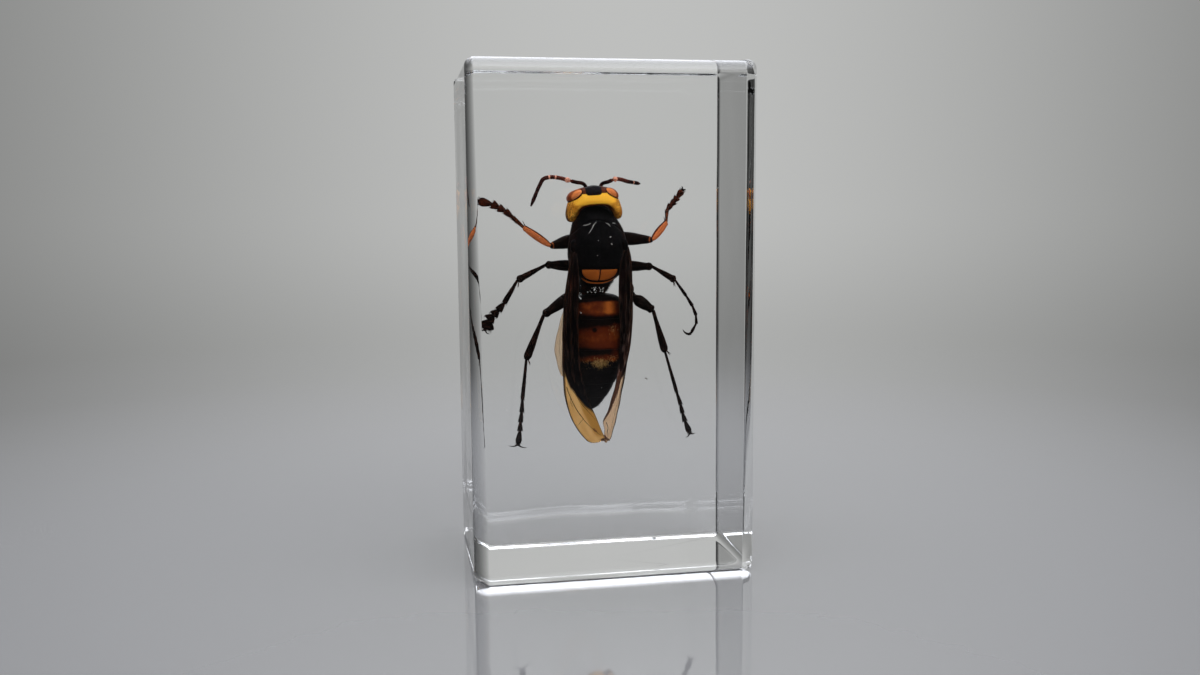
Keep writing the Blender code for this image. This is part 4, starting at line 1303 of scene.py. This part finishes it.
@dataclass
class Leg:
    """A leg: coxa, trochanter, femur, tibia, five foot segments, claws and bristles.

    Attributes:
        name: The piece's name and its solid's.
        joints: From the coxa's root to the foot's end.
        build_of: Its pair's build.
        flare: How wide each foot segment ends, for each unit of the foot's half thickness.
        claw_spread: How far the claws spread.
        fringe: How long the foot's bristles are.
        seed: Seed of the bristles' places.
        hook: A bent foot end in place of claws, as steps from the foot's end.
    """

    name: str
    joints: Knots
    build_of: LegBuild
    flare: tuple[float, float, float, float, float]
    claw_spread: float = 1.0
    fringe: float = 1.0
    seed: int = 1
    hook: Knots = ()

    @staticmethod
    def _segment(start: Array, end: Array, profile: Sequence[Pair], size: float, flat: float = 0.85,
                 orange: float = 0.0, red: float = 0.3, count: int = 40, stripe: float = 0.0) -> Shape:
        """One segment: a section of changing size carried from joint to joint.

        Args:
            start: The joint nearer the body.
            end: The joint nearer the foot.
            profile: Share of the way, and share of the size there.
            size: Largest half width.
            flat: Half thickness for each unit of half width.
            orange: How orange it is.
            red: How red it is.
            count: Sections along it.
            stripe: Side of a dark edge and a dark middle line along it, or 0 for none.

        Returns:
            The closed segment.
        """
        t = evenly(count)
        path = start + (end - start) * t[:, None]
        radius = size * through(profile, t)
        across = np.cos(full_turn(24))[None] * stripe
        line = 0.75 * bell(0.12, 0.16, across) * bell(0.5, 0.42, t)[:, None]
        tone = orange * (1.0 - abs(stripe) * np.maximum(line, smooth_step(0.45, 0.8, across)))
        return sweep(path, radius, radius * flat, 24, (0.0, 1.0, 0.0), orange=tone * np.ones((count, 1)),
                     red=np.full(count, red))

    @staticmethod
    def _spike(path: Array, thick: float, power: float, tip: float, sides: int, flat: float = 1.0,
               **masks: Array) -> Shape:
        """A tube whose half width falls by a power of the way along its path, down to its tip's."""
        size = thick * (1.0 - evenly(len(path)) ** power) + tip
        return sweep(path, size, size * flat, sides, (0.0, 1.0, 0.1), **masks)

    def build(self, bench: Bench) -> None:
        """Makes the leg and its bristles."""
        own = self.build_of
        points = [np.asarray(point) for point in self.joints]
        coxa, trochanter, knee, ankle = points[:4]
        bulb = ((0.0, 0.5), (0.3, 0.9), (0.6, 1.0), (0.85, 0.85), (1.0, 0.4))
        shapes = [
            self._segment(coxa, trochanter, ((0.0, 0.6), (0.3, 1.0), (0.8, 0.85), (1.0, 0.5)), own.coxa, 0.9),
            self._segment(trochanter, knee, own.femur_shape, own.femur, 0.8, 0.0, 0.15, 60),
            # the fore legs' knee takes some orange: partly its paler joint, partly a painted highlight
            self._segment(knee + (trochanter - knee) * 0.14, knee + (trochanter - knee) * 0.01, bulb,
                          own.femur * 0.5, 0.8, 0.45 * own.orange, 0.2 + 0.5 * own.orange, 20),
            self._segment(knee, ankle, own.tibia_shape, own.tibia, 0.8, own.orange, 0.2 + 0.4 * own.orange, 60,
                          float(np.sign(knee[0] - coxa[0])) * own.orange),
        ]
        for number, (start, end, flare) in enumerate(zip(points[3:], points[4:], self.flare)):
            slim = min(1.0, 0.9 / flare)
            profile = ((0.0, 0.7 * slim), (0.3, 0.4 + 0.38 * slim), (0.8, 1.0), (0.93, 0.98), (1.0, 0.5))
            if number == 4:
                profile = ((0.0, 0.6 * slim), (0.4, 0.88), (0.85, 1.0), (1.0, 0.6))
            reach = end + unit(end - start) * (0.0 if number == 4 else 0.14)
            size = own.foot * flare
            shapes.append(self._segment(start, reach, profile, size, 0.75 * slim, 0.3 * own.orange * (number == 0),
                                        0.2 + 0.25 * own.orange, 30))
        shapes += self.bent_end(points[-1]) if self.hook else self.claws(points[-2], points[-1])
        shapes += self.spur_shapes(knee, ankle, points[4])
        slot = Slot.ORANGE_LEG if own.orange > 0.0 else Slot.DARK
        bench.piece(self.name, Shape.joined(shapes), LEG_BROWN, slot, self.name)
        bench.piece(self.name + "_bristles", self.bristles(points), HAIR_BROWN, slot)

    def claws(self, before: Array, end: Array) -> list[Shape]:
        """A pair of hooks that spread from the foot's end, curving in at their tips."""
        along = unit(end - before)
        side = beside(along)
        hooks = []
        for sign in (-1.0, 1.0):
            angle = np.linspace(0.0, 2.1, 26)[:, None]
            reach = 0.55 * self.claw_spread
            path = end + along * (0.05 + 0.42 * np.sin(angle)) + side * (sign * reach * (1.0 - np.cos(angle)) * 0.95)
            path = path + side * sign * 0.14 + angle * (0.0, 0.12, 0.0)
            hooks.append(self._spike(path, 0.12, 1.5, 0.012, 10))
        pad = oval(tuple(end + along * 0.12), (0.2, 0.16, 0.2), 10, 14)
        return hooks + [pad]

    def bent_end(self, end: Array) -> list[Shape]:
        """A foot end that curls round to a hook."""
        path = route([tuple(end + np.asarray(step)) for step in self.hook], 40)
        return [self._spike(path, 0.21, 1.3, 0.025, 14, 0.8)]

    def spur_shapes(self, knee: Array, ankle: Array, foot: Array) -> list[Shape]:
        """Slim spurs at the end of the tibia."""
        along = unit(ankle - knee)
        ahead = unit(foot - ankle)
        side = beside(along)
        turn_in = float(np.sign(np.dot(side, ahead)) or 1.0)
        spurs = []
        for number in range(self.build_of.spurs):
            start = ankle - along * 0.12 + side * turn_in * 0.25 + (0.0, 0.18 * (number * 2 - 1), 0.0)
            end = start + unit(ahead * 0.9 + side * turn_in * (0.35 + 0.3 * number)) * 0.95
            path = start + (end - start) * evenly(16)[:, None]
            spurs.append(self._spike(path, 0.065, 2, 0.008, 8, red=np.full(16, 0.5)))
        return spurs

    def bristles(self, points: Sequence[Array]) -> Shape:
        """Stiff bristles: sparse on femur and tibia, in fringes at the end of each foot segment."""
        rng = np.random.default_rng(self.seed)
        own = self.build_of
        rows: list[tuple[Array, Array, Array, Array]] = []
        plans = [(1, 2, 110, own.femur * 0.7, 0.12, 0.01, 0.8), (2, 3, 150, own.tibia * 0.85, 0.18, 0.012, 0.8)]
        plans += [(3 + number, 4 + number, 130, own.foot * flare, 0.3 * self.fringe, 0.018,
                   0.75 * min(1.0, 0.9 / flare)) for number, flare in enumerate(self.flare)]
        for first, second, count, radius, length, thick, flat in plans:
            start, end = points[first], points[second]
            along = unit(end - start)
            side = beside(along)
            third = np.cross(side, along)
            t = rng.uniform(0.08, 1.0, count)
            if first >= 3:
                t = 1.0 - 0.8 * rng.uniform(0.0, 1.0, count) ** 1.5
            turn = rng.uniform(0.0, 2.0 * math.pi, count)
            out = side * np.cos(turn)[:, None] + third * (flat * np.sin(turn))[:, None]
            grow = 0.55 + 0.42 * t
            root = start + (end - start) * t[:, None] + out * (radius * grow * 0.9)[:, None]
            lean = out * 0.55 + along * rng.uniform(0.9, 1.6, count)[:, None]
            rows.append((root, lean, length * rng.uniform(0.5, 1.5, count), np.full(count, thick)))
        roots, leans, lengths, thicks = (np.concatenate(column) for column in zip(*rows))
        return thorns(roots, leans, lengths, thicks)


@dataclass
class Specks:
    """What is caught in the resin beside the insect.

    Attributes:
        fleck: Middles and half sizes of the dark fleck's parts.
        scraps: The same of the scraps at the wing tips.
    """

    fleck: tuple[Knots, ...] = (((5.75, -0.6, 28.0), (0.16, 0.1, 0.07)), ((5.91, -0.6, 27.87), (0.09, 0.06, 0.07)))
    scraps: tuple[Knots, ...] = (
        ((-0.5, 0.3, 18.85), (0.42, 0.1, 0.15)), ((-0.16, 0.35, 18.66), (0.24, 0.1, 0.22)),
        ((0.22, 0.3, 18.8), (0.26, 0.08, 0.1)), ((-0.9, 0.25, 18.98), (0.26, 0.07, 0.07)))

    def build(self, bench: Bench) -> None:
        """Makes the dark fleck right of the abdomen, the scraps and a few pin-prick bubbles."""
        flake = [oval(place, half, 8, 12) for place, half in self.fleck]
        bench.piece("dark_fleck", Shape.joined(flake), DARK_SPECK, Slot.DARK)
        scraps = [oval(place, half, 10, 14) for place, half in self.scraps]
        bench.piece("wing_tip_scraps", Shape.joined(scraps), BROWN_SCRAP, Slot.DARK)
        rng = np.random.default_rng(23)
        bubbles = [oval((rng.uniform(-17, 17), rng.uniform(-10, 10), rng.uniform(6, 66)), (0.04, 0.04, 0.04), 6, 8)
                   for _ in range(10)]
        bench.piece("bubbles", Shape.joined(bubbles), AIR_BEAD, Slot.RESIN)


@dataclass
class Studio:
    """The plain pale floor, the soft surroundings and the camera."""

    camera_place: Point = (-30.11, -167.72, 54.26)
    yaw: float = 10.302
    pitch: float = 6.852
    roll: float = -0.435
    lens: float = 33.224
    floor_radius: float = 600.0
    wall_azimuth: float = 12.0
    wall_focus: float = 6.0
    wall_light: float = 0.44
    dusk: float = 0.08
    # azimuth, focus and depth of each dark flag
    flags: Knots = ((-66.0, 14.0, 0.82), (72.0, 15.0, 0.75), (190.0, 3.0, 0.65))
    # sines of the heights between which the ceiling's light comes in
    ceiling: Pair = (0.55, 0.78)
    ceiling_light: float = 3.0
    key_azimuth: float = 152.0
    key_height: float = 42.0
    key_light: float = 2.6
    key_focus: float = 6.0
    # sines of the heights between which the key light comes in
    key_rise: Pair = (0.22, 0.5)
    # sines of the heights between which the wall comes to its full light, and its share of it further down
    wall_rise: Pair = (-0.14, 0.0)
    wall_below: float = 0.82

    def build(self) -> None:
        """Makes the camera, the floor and the surroundings."""
        self.add_camera()
        self.add_floor()
        self.add_surroundings()
        bpy.context.scene.view_settings.view_transform = "Standard"

    def add_camera(self) -> None:
        """Stands the camera where the photograph was taken from."""
        yaw, pitch, roll = (math.radians(angle) for angle in (self.yaw, self.pitch, self.roll))
        ahead = Vector((math.sin(yaw) * math.cos(pitch), math.cos(yaw) * math.cos(pitch), -math.sin(pitch)))
        right = Vector((math.cos(yaw), -math.sin(yaw), 0.0))
        up = right.cross(ahead)
        right, up = right * math.cos(roll) + up * math.sin(roll), up * math.cos(roll) - right * math.sin(roll)
        data = bpy.data.cameras.new("camera")
        data.lens = self.lens
        data.sensor_width = 36.0
        data.clip_start = 0.005
        camera = bpy.data.objects.new("camera", data)
        turn = Matrix((right, up, -ahead)).transposed().to_4x4()
        camera.matrix_world = Matrix.Translation(Vector(self.camera_place) * MM) @ turn
        bpy.context.scene.collection.objects.link(camera)
        bpy.context.scene.camera = camera

    def add_floor(self) -> None:
        """A round pale floor that mirrors the block faintly and fades into the surroundings further out."""
        radius = np.array([0.0, 20.0, 45.0, 70.0, 100.0, 140.0, 200.0, 300.0, self.floor_radius])[:, None]
        turn = full_turn(96)[None]
        points = places(radius * np.cos(turn), radius * np.sin(turn), -0.02)
        far = smooth_step(60.0, 260.0, radius)
        floor = bpy.data.objects.new("floor", Shape.grid(points, around=True, far=far).mesh("floor", FRAME))
        floor.data.materials.append(PaleFloor().material())
        bpy.context.scene.collection.objects.link(floor)

    def add_surroundings(self) -> None:
        """Soft light: a wall palest behind the block, dusk round about, dark flags and a bright ceiling.

        Each is a function of the direction alone. The wall is dusk plus a bell round its palest azimuth,
        which the flags dim in a bell round each of theirs, and it is a little darker below the horizon. The
        ceiling is a soft step in height. A soft key light hangs in front, above what the block's face mirrors.
        """
        world = bpy.data.worlds.new("surroundings")
        world.use_nodes = True
        bpy.context.scene.world = world
        maker = NodeMaker(world.node_tree)
        direction = maker.node("TexCoord", output="Generated")
        parts = maker.node("SeparateXYZ", {}, {0: direction})
        x, y, z = (Wire(maker, parts.socket.node.outputs[axis]) for axis in range(3))
        level = (1.0 - z * z).over(0.0001) ** 0.5

        def facing(azimuth: float, focus: float) -> Wire:
            """A bell of height 1 round an azimuth: e to the power of focus times the cosine less 1."""
            turn = math.radians(azimuth)
            return (((x * math.sin(turn) + y * math.cos(turn)) / level - 1.0) * focus).exp()

        wall = facing(self.wall_azimuth, self.wall_focus) * self.wall_light + self.dusk
        for azimuth, focus, depth in self.flags:
            wall = wall * (1.0 - facing(azimuth, focus) * depth)
        wall = wall * (z.step(*self.wall_rise) * (1.0 - self.wall_below) + self.wall_below)
        ceiling = z.step(*self.ceiling) * self.ceiling_light
        turn, height = math.radians(self.key_azimuth), math.radians(self.key_height)
        level_way = math.cos(height)
        nearness = x * (math.sin(turn) * level_way) + y * (math.cos(turn) * level_way) + z * math.sin(height)
        key = ((nearness - 1.0) * self.key_focus).exp() * z.step(*self.key_rise) * self.key_light
        light = wall + key
        colour = maker.node("CombineColor", {}, {
            0: light * 0.99 + ceiling * 0.95, 1: light + ceiling * 0.975, 2: light * 0.985 + ceiling * 1.06})
        shade = maker.node("Background", {}, {"Color": colour, "Strength": 1.0})
        maker.node("OutputWorld", {}, {"Surface": shade})


LEFT_FOREWING_ROWS = (
    (47.4, -5.15, -1.75, -4.65, -2.45), (44.6, -5.5, -1.0, -4.4, -3.4), (39.0, -6.25, -0.7, -4.5, -3.6),
    (35.5, -6.45, -0.7, -4.5, -3.6), (32.5, -6.55, -0.7, -4.45, -3.45), (29.0, -6.5, -0.5, -4.05, -3.05),
    (25.8, -6.25, -0.31, -3.2, -2.36), (22.7, -5.45, -0.15, -1.85, -1.35), (20.1, -4.05, 0.0, -0.85, -0.6, 0.2),
    (18.35, -2.55, 0.0, -0.2, -0.2, 0.55))
RIGHT_FOREWING_ROWS = (
    (47.4, 3.0, -1.75, 2.55, -2.45), (44.6, 3.6, -1.0, 1.55, -3.4), (39.0, 3.72, -0.6, 1.42, -3.45),
    (35.5, 3.65, -0.6, 1.6, -3.4), (32.5, 3.25, -0.55, 1.55, -3.05), (29.5, 2.72, -0.45, 1.3, -2.55),
    (27.0, 2.28, -0.28, 0.9, -2.0), (25.0, 1.92, -0.11, 0.42, -1.4), (23.2, 1.58, 0.1, -0.08, -0.8),
    (21.6, 1.25, 0.27, -0.66, -0.33, 0.15), (20.3, 0.92, 0.45, -0.42, 0.0, 0.1), (18.6, 0.5, 0.6, -0.5, 0.45, 0.15))
LEFT_HINDWING_ROWS = (
    (43.3, -5.5, 0.75, -5.0, -0.15), (41.0, -5.75, 0.8, -5.3, -0.1), (38.6, -6.15, 0.85, -5.7, -0.05),
    (36.6, -6.75, 0.85, -6.0, -0.05), (34.5, -7.3, 0.82, -6.1, 0.0), (32.7, -7.62, 0.8, -6.15, 0.0),
    (31.1, -7.4, 0.75, -6.15, 0.05), (29.3, -6.95, 0.65, -6.15, 0.05), (28.6, -6.6, 0.6, -6.1, 0.05))
RIGHT_HINDWING_ROWS = (
    (43.3, 3.6, 0.75, 3.0, -0.15), (41.0, 3.65, 0.8, 3.0, -0.1), (38.0, 3.7, 0.85, 3.0, -0.05),
    (35.5, 3.55, 0.85, 2.9, -0.05), (33.3, 3.25, 0.8, 2.7, 0.0), (31.0, 2.85, 0.75, 2.4, 0.05),
    (29.0, 2.5, 0.65, 2.1, 0.05))
FOREWING_VEINS = (
    (((0.0, 0.02), (0.5, 0.01), (0.9, 0.012), (0.985, 0.05)), 0.12),
    (((0.0, 0.2), (0.4, 0.16), (0.62, 0.1), (0.72, 0.03)), 0.09), (((0.0, 0.42), (0.35, 0.4), (0.6, 0.38)), 0.07),
    (((0.0, 0.68), (0.4, 0.64), (0.62, 0.62)), 0.07), (((0.0, 0.98), (0.3, 0.97), (0.6, 0.98), (0.96, 0.98)), 0.05),
)
LEFT_VEINS = (
    (((-5.85, 27.2), (-5.35, 25.7), (-4.55, 24.1), (-3.55, 22.4), (-2.7, 21.3), (-1.9, 20.5)), 0.06),
    (((-5.35, 25.7), (-5.25, 24.8), (-4.95, 24.2), (-4.55, 24.1)), 0.03),
    (((-4.85, 26.6), (-4.1, 25.2), (-3.2, 24.0), (-2.3, 22.7), (-1.5, 21.6)), 0.035),
    (((-3.55, 22.4), (-4.1, 21.7), (-4.55, 21.1)), 0.028),
    (((-1.9, 20.5), (-1.5, 20.0), (-1.1, 19.6), (-0.6, 19.3)), 0.03),
)
RIGHT_VEINS = (
    (((1.75, 26.8), (1.45, 25.0), (1.15, 23.6), (0.85, 22.2), (0.6, 20.9), (0.35, 19.6)), 0.03),
    (((-0.2, 21.5), (0.02, 20.7), (-0.08, 20.0), (0.02, 19.3)), 0.045),
)
LEFT_STAINS = (
    ((-2.15, 20.8, 0.16), (-1.95, 20.55, 0.2), (-1.7, 20.35, 0.14)),
    ((-0.9, 19.1, 0.2), (-0.55, 18.95, 0.34), (-0.15, 18.85, 0.34)),
)
RIGHT_STAINS = (
    ((1.75, 29.0, 0.4), (1.4, 27.4, 0.46), (1.0, 26.0, 0.42), (0.58, 24.6, 0.32), (0.12, 23.2, 0.22),
     (-0.28, 22.4, 0.17), (-0.66, 21.8, 0.15)), ((-0.4, 19.4, 0.3), (-0.2, 18.9, 0.42), (0.2, 18.7, 0.36)),
)
HINDWING_VEINS = ((((0.0, 0.05), (0.5, 0.03), (0.95, 0.1)), 0.025), (((0.1, 0.5), (0.5, 0.45), (0.9, 0.5)), 0.014))

FORE = LegBuild(
    0.85, 0.98, 0.55, 0.36, 1.0, 1,
    ((0.0, 0.62), (0.06, 0.8), (0.12, 0.74), (0.3, 1.0), (0.5, 0.96), (0.75, 0.72), (0.93, 0.52), (1.0, 0.36)),
    ((0.0, 0.42), (0.08, 0.66), (0.35, 0.98), (0.6, 1.0), (0.88, 0.78), (0.97, 0.66), (1.0, 0.4)))
MID = LegBuild(
    0.88, 0.8, 0.46, 0.32, 0.0, 2,
    ((0.0, 0.55), (0.06, 0.78), (0.12, 0.64), (0.35, 1.0), (0.6, 0.93), (0.85, 0.68), (0.97, 0.6), (1.0, 0.36)),
    ((0.0, 0.45), (0.06, 0.52), (0.2, 0.56), (0.5, 0.84), (0.8, 1.0), (0.97, 1.0), (1.0, 0.7)))
HIND = LegBuild(
    0.88, 0.86, 0.56, 0.32, 0.0, 2,
    ((0.0, 0.55), (0.06, 0.78), (0.12, 0.64), (0.35, 1.0), (0.6, 0.96), (0.85, 0.7), (0.97, 0.62), (1.0, 0.38)),
    ((0.0, 0.45), (0.06, 0.5), (0.2, 0.52), (0.5, 0.78), (0.78, 1.0), (0.95, 0.92), (1.0, 0.62)))


def antennae() -> list[Antenna]:
    """Both feelers, along the routes of their solids."""
    left = ((-2.62, 0.75, 55.85), (-3.05, 0.85, 56.4), (-4.3, 0.45, 56.7), (-5.5, 0.2, 57.0), (-6.7, 0.0, 57.3),
            (-8.1, -0.2, 57.4), (-9.0, -0.3, 57.15), (-9.55, -0.4, 56.3), (-10.2, -0.5, 54.9), (-10.9, -0.6, 53.3))
    right = ((-0.72, 0.75, 55.9), (-0.45, 0.85, 56.4), (0.5, 0.6, 56.75), (1.4, 0.4, 57.1), (2.3, 1.2, 57.1),
             (3.6, 2.4, 56.8), (4.7, 3.3, 56.65), (5.7, 4.2, 56.5))
    return [Antenna("left_antenna", left, 0.25, (0.46, 0.54)), Antenna("right_antenna", right, 0.27, (0.8,))]


def wings() -> list[Wing]:
    """All four wings, between the edges of their solids."""
    return [
        Wing("left_forewing", LEFT_FOREWING_ROWS, WING_SKIN, FOREWING_VEINS, 0.14, (0.45, 0.58), 0.25,
             LEFT_VEINS, LEFT_STAINS),
        Wing("right_forewing", RIGHT_FOREWING_ROWS, PALE_WING_SKIN, FOREWING_VEINS, 0.14, (0.4, 0.5), 0.1,
             RIGHT_VEINS, RIGHT_STAINS),
        Wing("left_hindwing", LEFT_HINDWING_ROWS, LOBE_SKIN, HINDWING_VEINS, 0.05, (0.1, 0.4)),
        Wing("right_hindwing", RIGHT_HINDWING_ROWS, WING_SKIN, HINDWING_VEINS, 0.05, (0.6, 0.9)),
    ]


def legs() -> list[Leg]:
    """All six legs, through the joints of their solids."""
    return [
        Leg("left_fore_leg", (
            (-2.6, 4.6, 49.3), (-3.6, 4.2, 48.5), (-8.0, 0.9, 47.6), (-11.8, 1.8, 50.3), (-13.3, 2.3, 51.7),
            (-14.3, 2.6, 52.6), (-15.2, 2.8, 53.1), (-16.1, 3.0, 53.6), (-18.1, 3.2, 54.1)),
            FORE, (0.9, 1.35, 1.6, 1.75, 1.6), 0.6, 1.3, 31),
        Leg("right_fore_leg", (
            (0.3, 4.6, 49.3), (1.4, 4.2, 48.6), (7.0, 0.7, 48.3), (9.5, 3.2, 50.8), (9.8, 4.6, 52.5),
            (10.4, 5.1, 53.3), (11.0, 5.5, 53.8), (11.5, 5.8, 54.4), (12.4, 6.2, 55.5)),
            FORE, (0.75, 1.2, 1.4, 1.45, 1.3), 0.4, 1.2, 32),
        Leg("left_mid_leg", (
            (-2.4, 4.8, 45.6), (-3.4, 4.5, 44.5), (-8.7, 0.8, 44.9), (-12.8, 1.8, 42.7), (-14.7, 2.6, 39.4),
            (-15.5, 2.9, 38.4), (-16.2, 3.1, 37.7), (-16.9, 3.2, 37.0), (-17.5, 3.4, 35.6)),
            MID, (1.2, 1.75, 2.15, 2.7, 3.3), 1.0, 1.4, 33),
        Leg("right_mid_leg", (
            (0.2, 4.8, 45.6), (1.3, 4.5, 44.5), (7.0, 0.8, 44.4), (10.6, 1.8, 42.3), (12.4, 2.6, 39.9),
            (13.4, 2.9, 38.4), (14.0, 3.1, 37.0), (14.1, 3.2, 35.7), (13.3, 3.4, 34.2)),
            MID, (0.75, 0.8, 0.8, 0.72, 0.68), 0.5, 0.15, 34,
            ((0.0, 0.0, 0.0), (-0.2, 0.02, -0.1), (-0.6, 0.06, -0.06), (-1.0, 0.1, 0.22), (-1.25, 0.15, 0.58))),
        Leg("left_hind_leg", (
            (-2.3, 4.5, 42.4), (-3.4, 4.1, 41.1), (-9.1, 1.4, 37.6), (-11.7, 2.0, 31.1), (-12.3, 2.8, 25.1),
            (-12.4, 3.0, 23.3), (-12.6, 3.1, 21.8), (-12.7, 3.2, 20.5), (-13.0, 3.4, 18.4)),
            HIND, (0.9, 1.0, 1.1, 1.2, 1.3), 1.6, 1.1, 35),
        Leg("right_hind_leg", (
            (3.3, 4.0, 42.2), (4.0, 3.2, 40.15), (7.2, 1.4, 37.9), (9.1, 2.0, 31.6), (11.0, 2.8, 25.3),
            (11.6, 3.0, 23.5), (11.9, 3.1, 22.2), (12.3, 3.2, 20.9), (13.1, 3.4, 19.0)),
            HIND, (0.85, 0.95, 1.05, 1.15, 1.25), 0.9, 1.1, 36),
    ]


def main() -> None:
    """Builds the studio and the object, piece by piece."""
    logging.basicConfig(level=logging.INFO, format="%(message)s")
    bench = Bench()
    Studio().build()
    makers = [ResinBlock(), Head(), *antennae(), Thorax(), Abdomen(), *wings(), *legs(), Specks()]
    for maker in makers:
        maker.build(bench)
    LOG.info("%d pieces", bench.count)


if __name__ == "__main__":
    main()
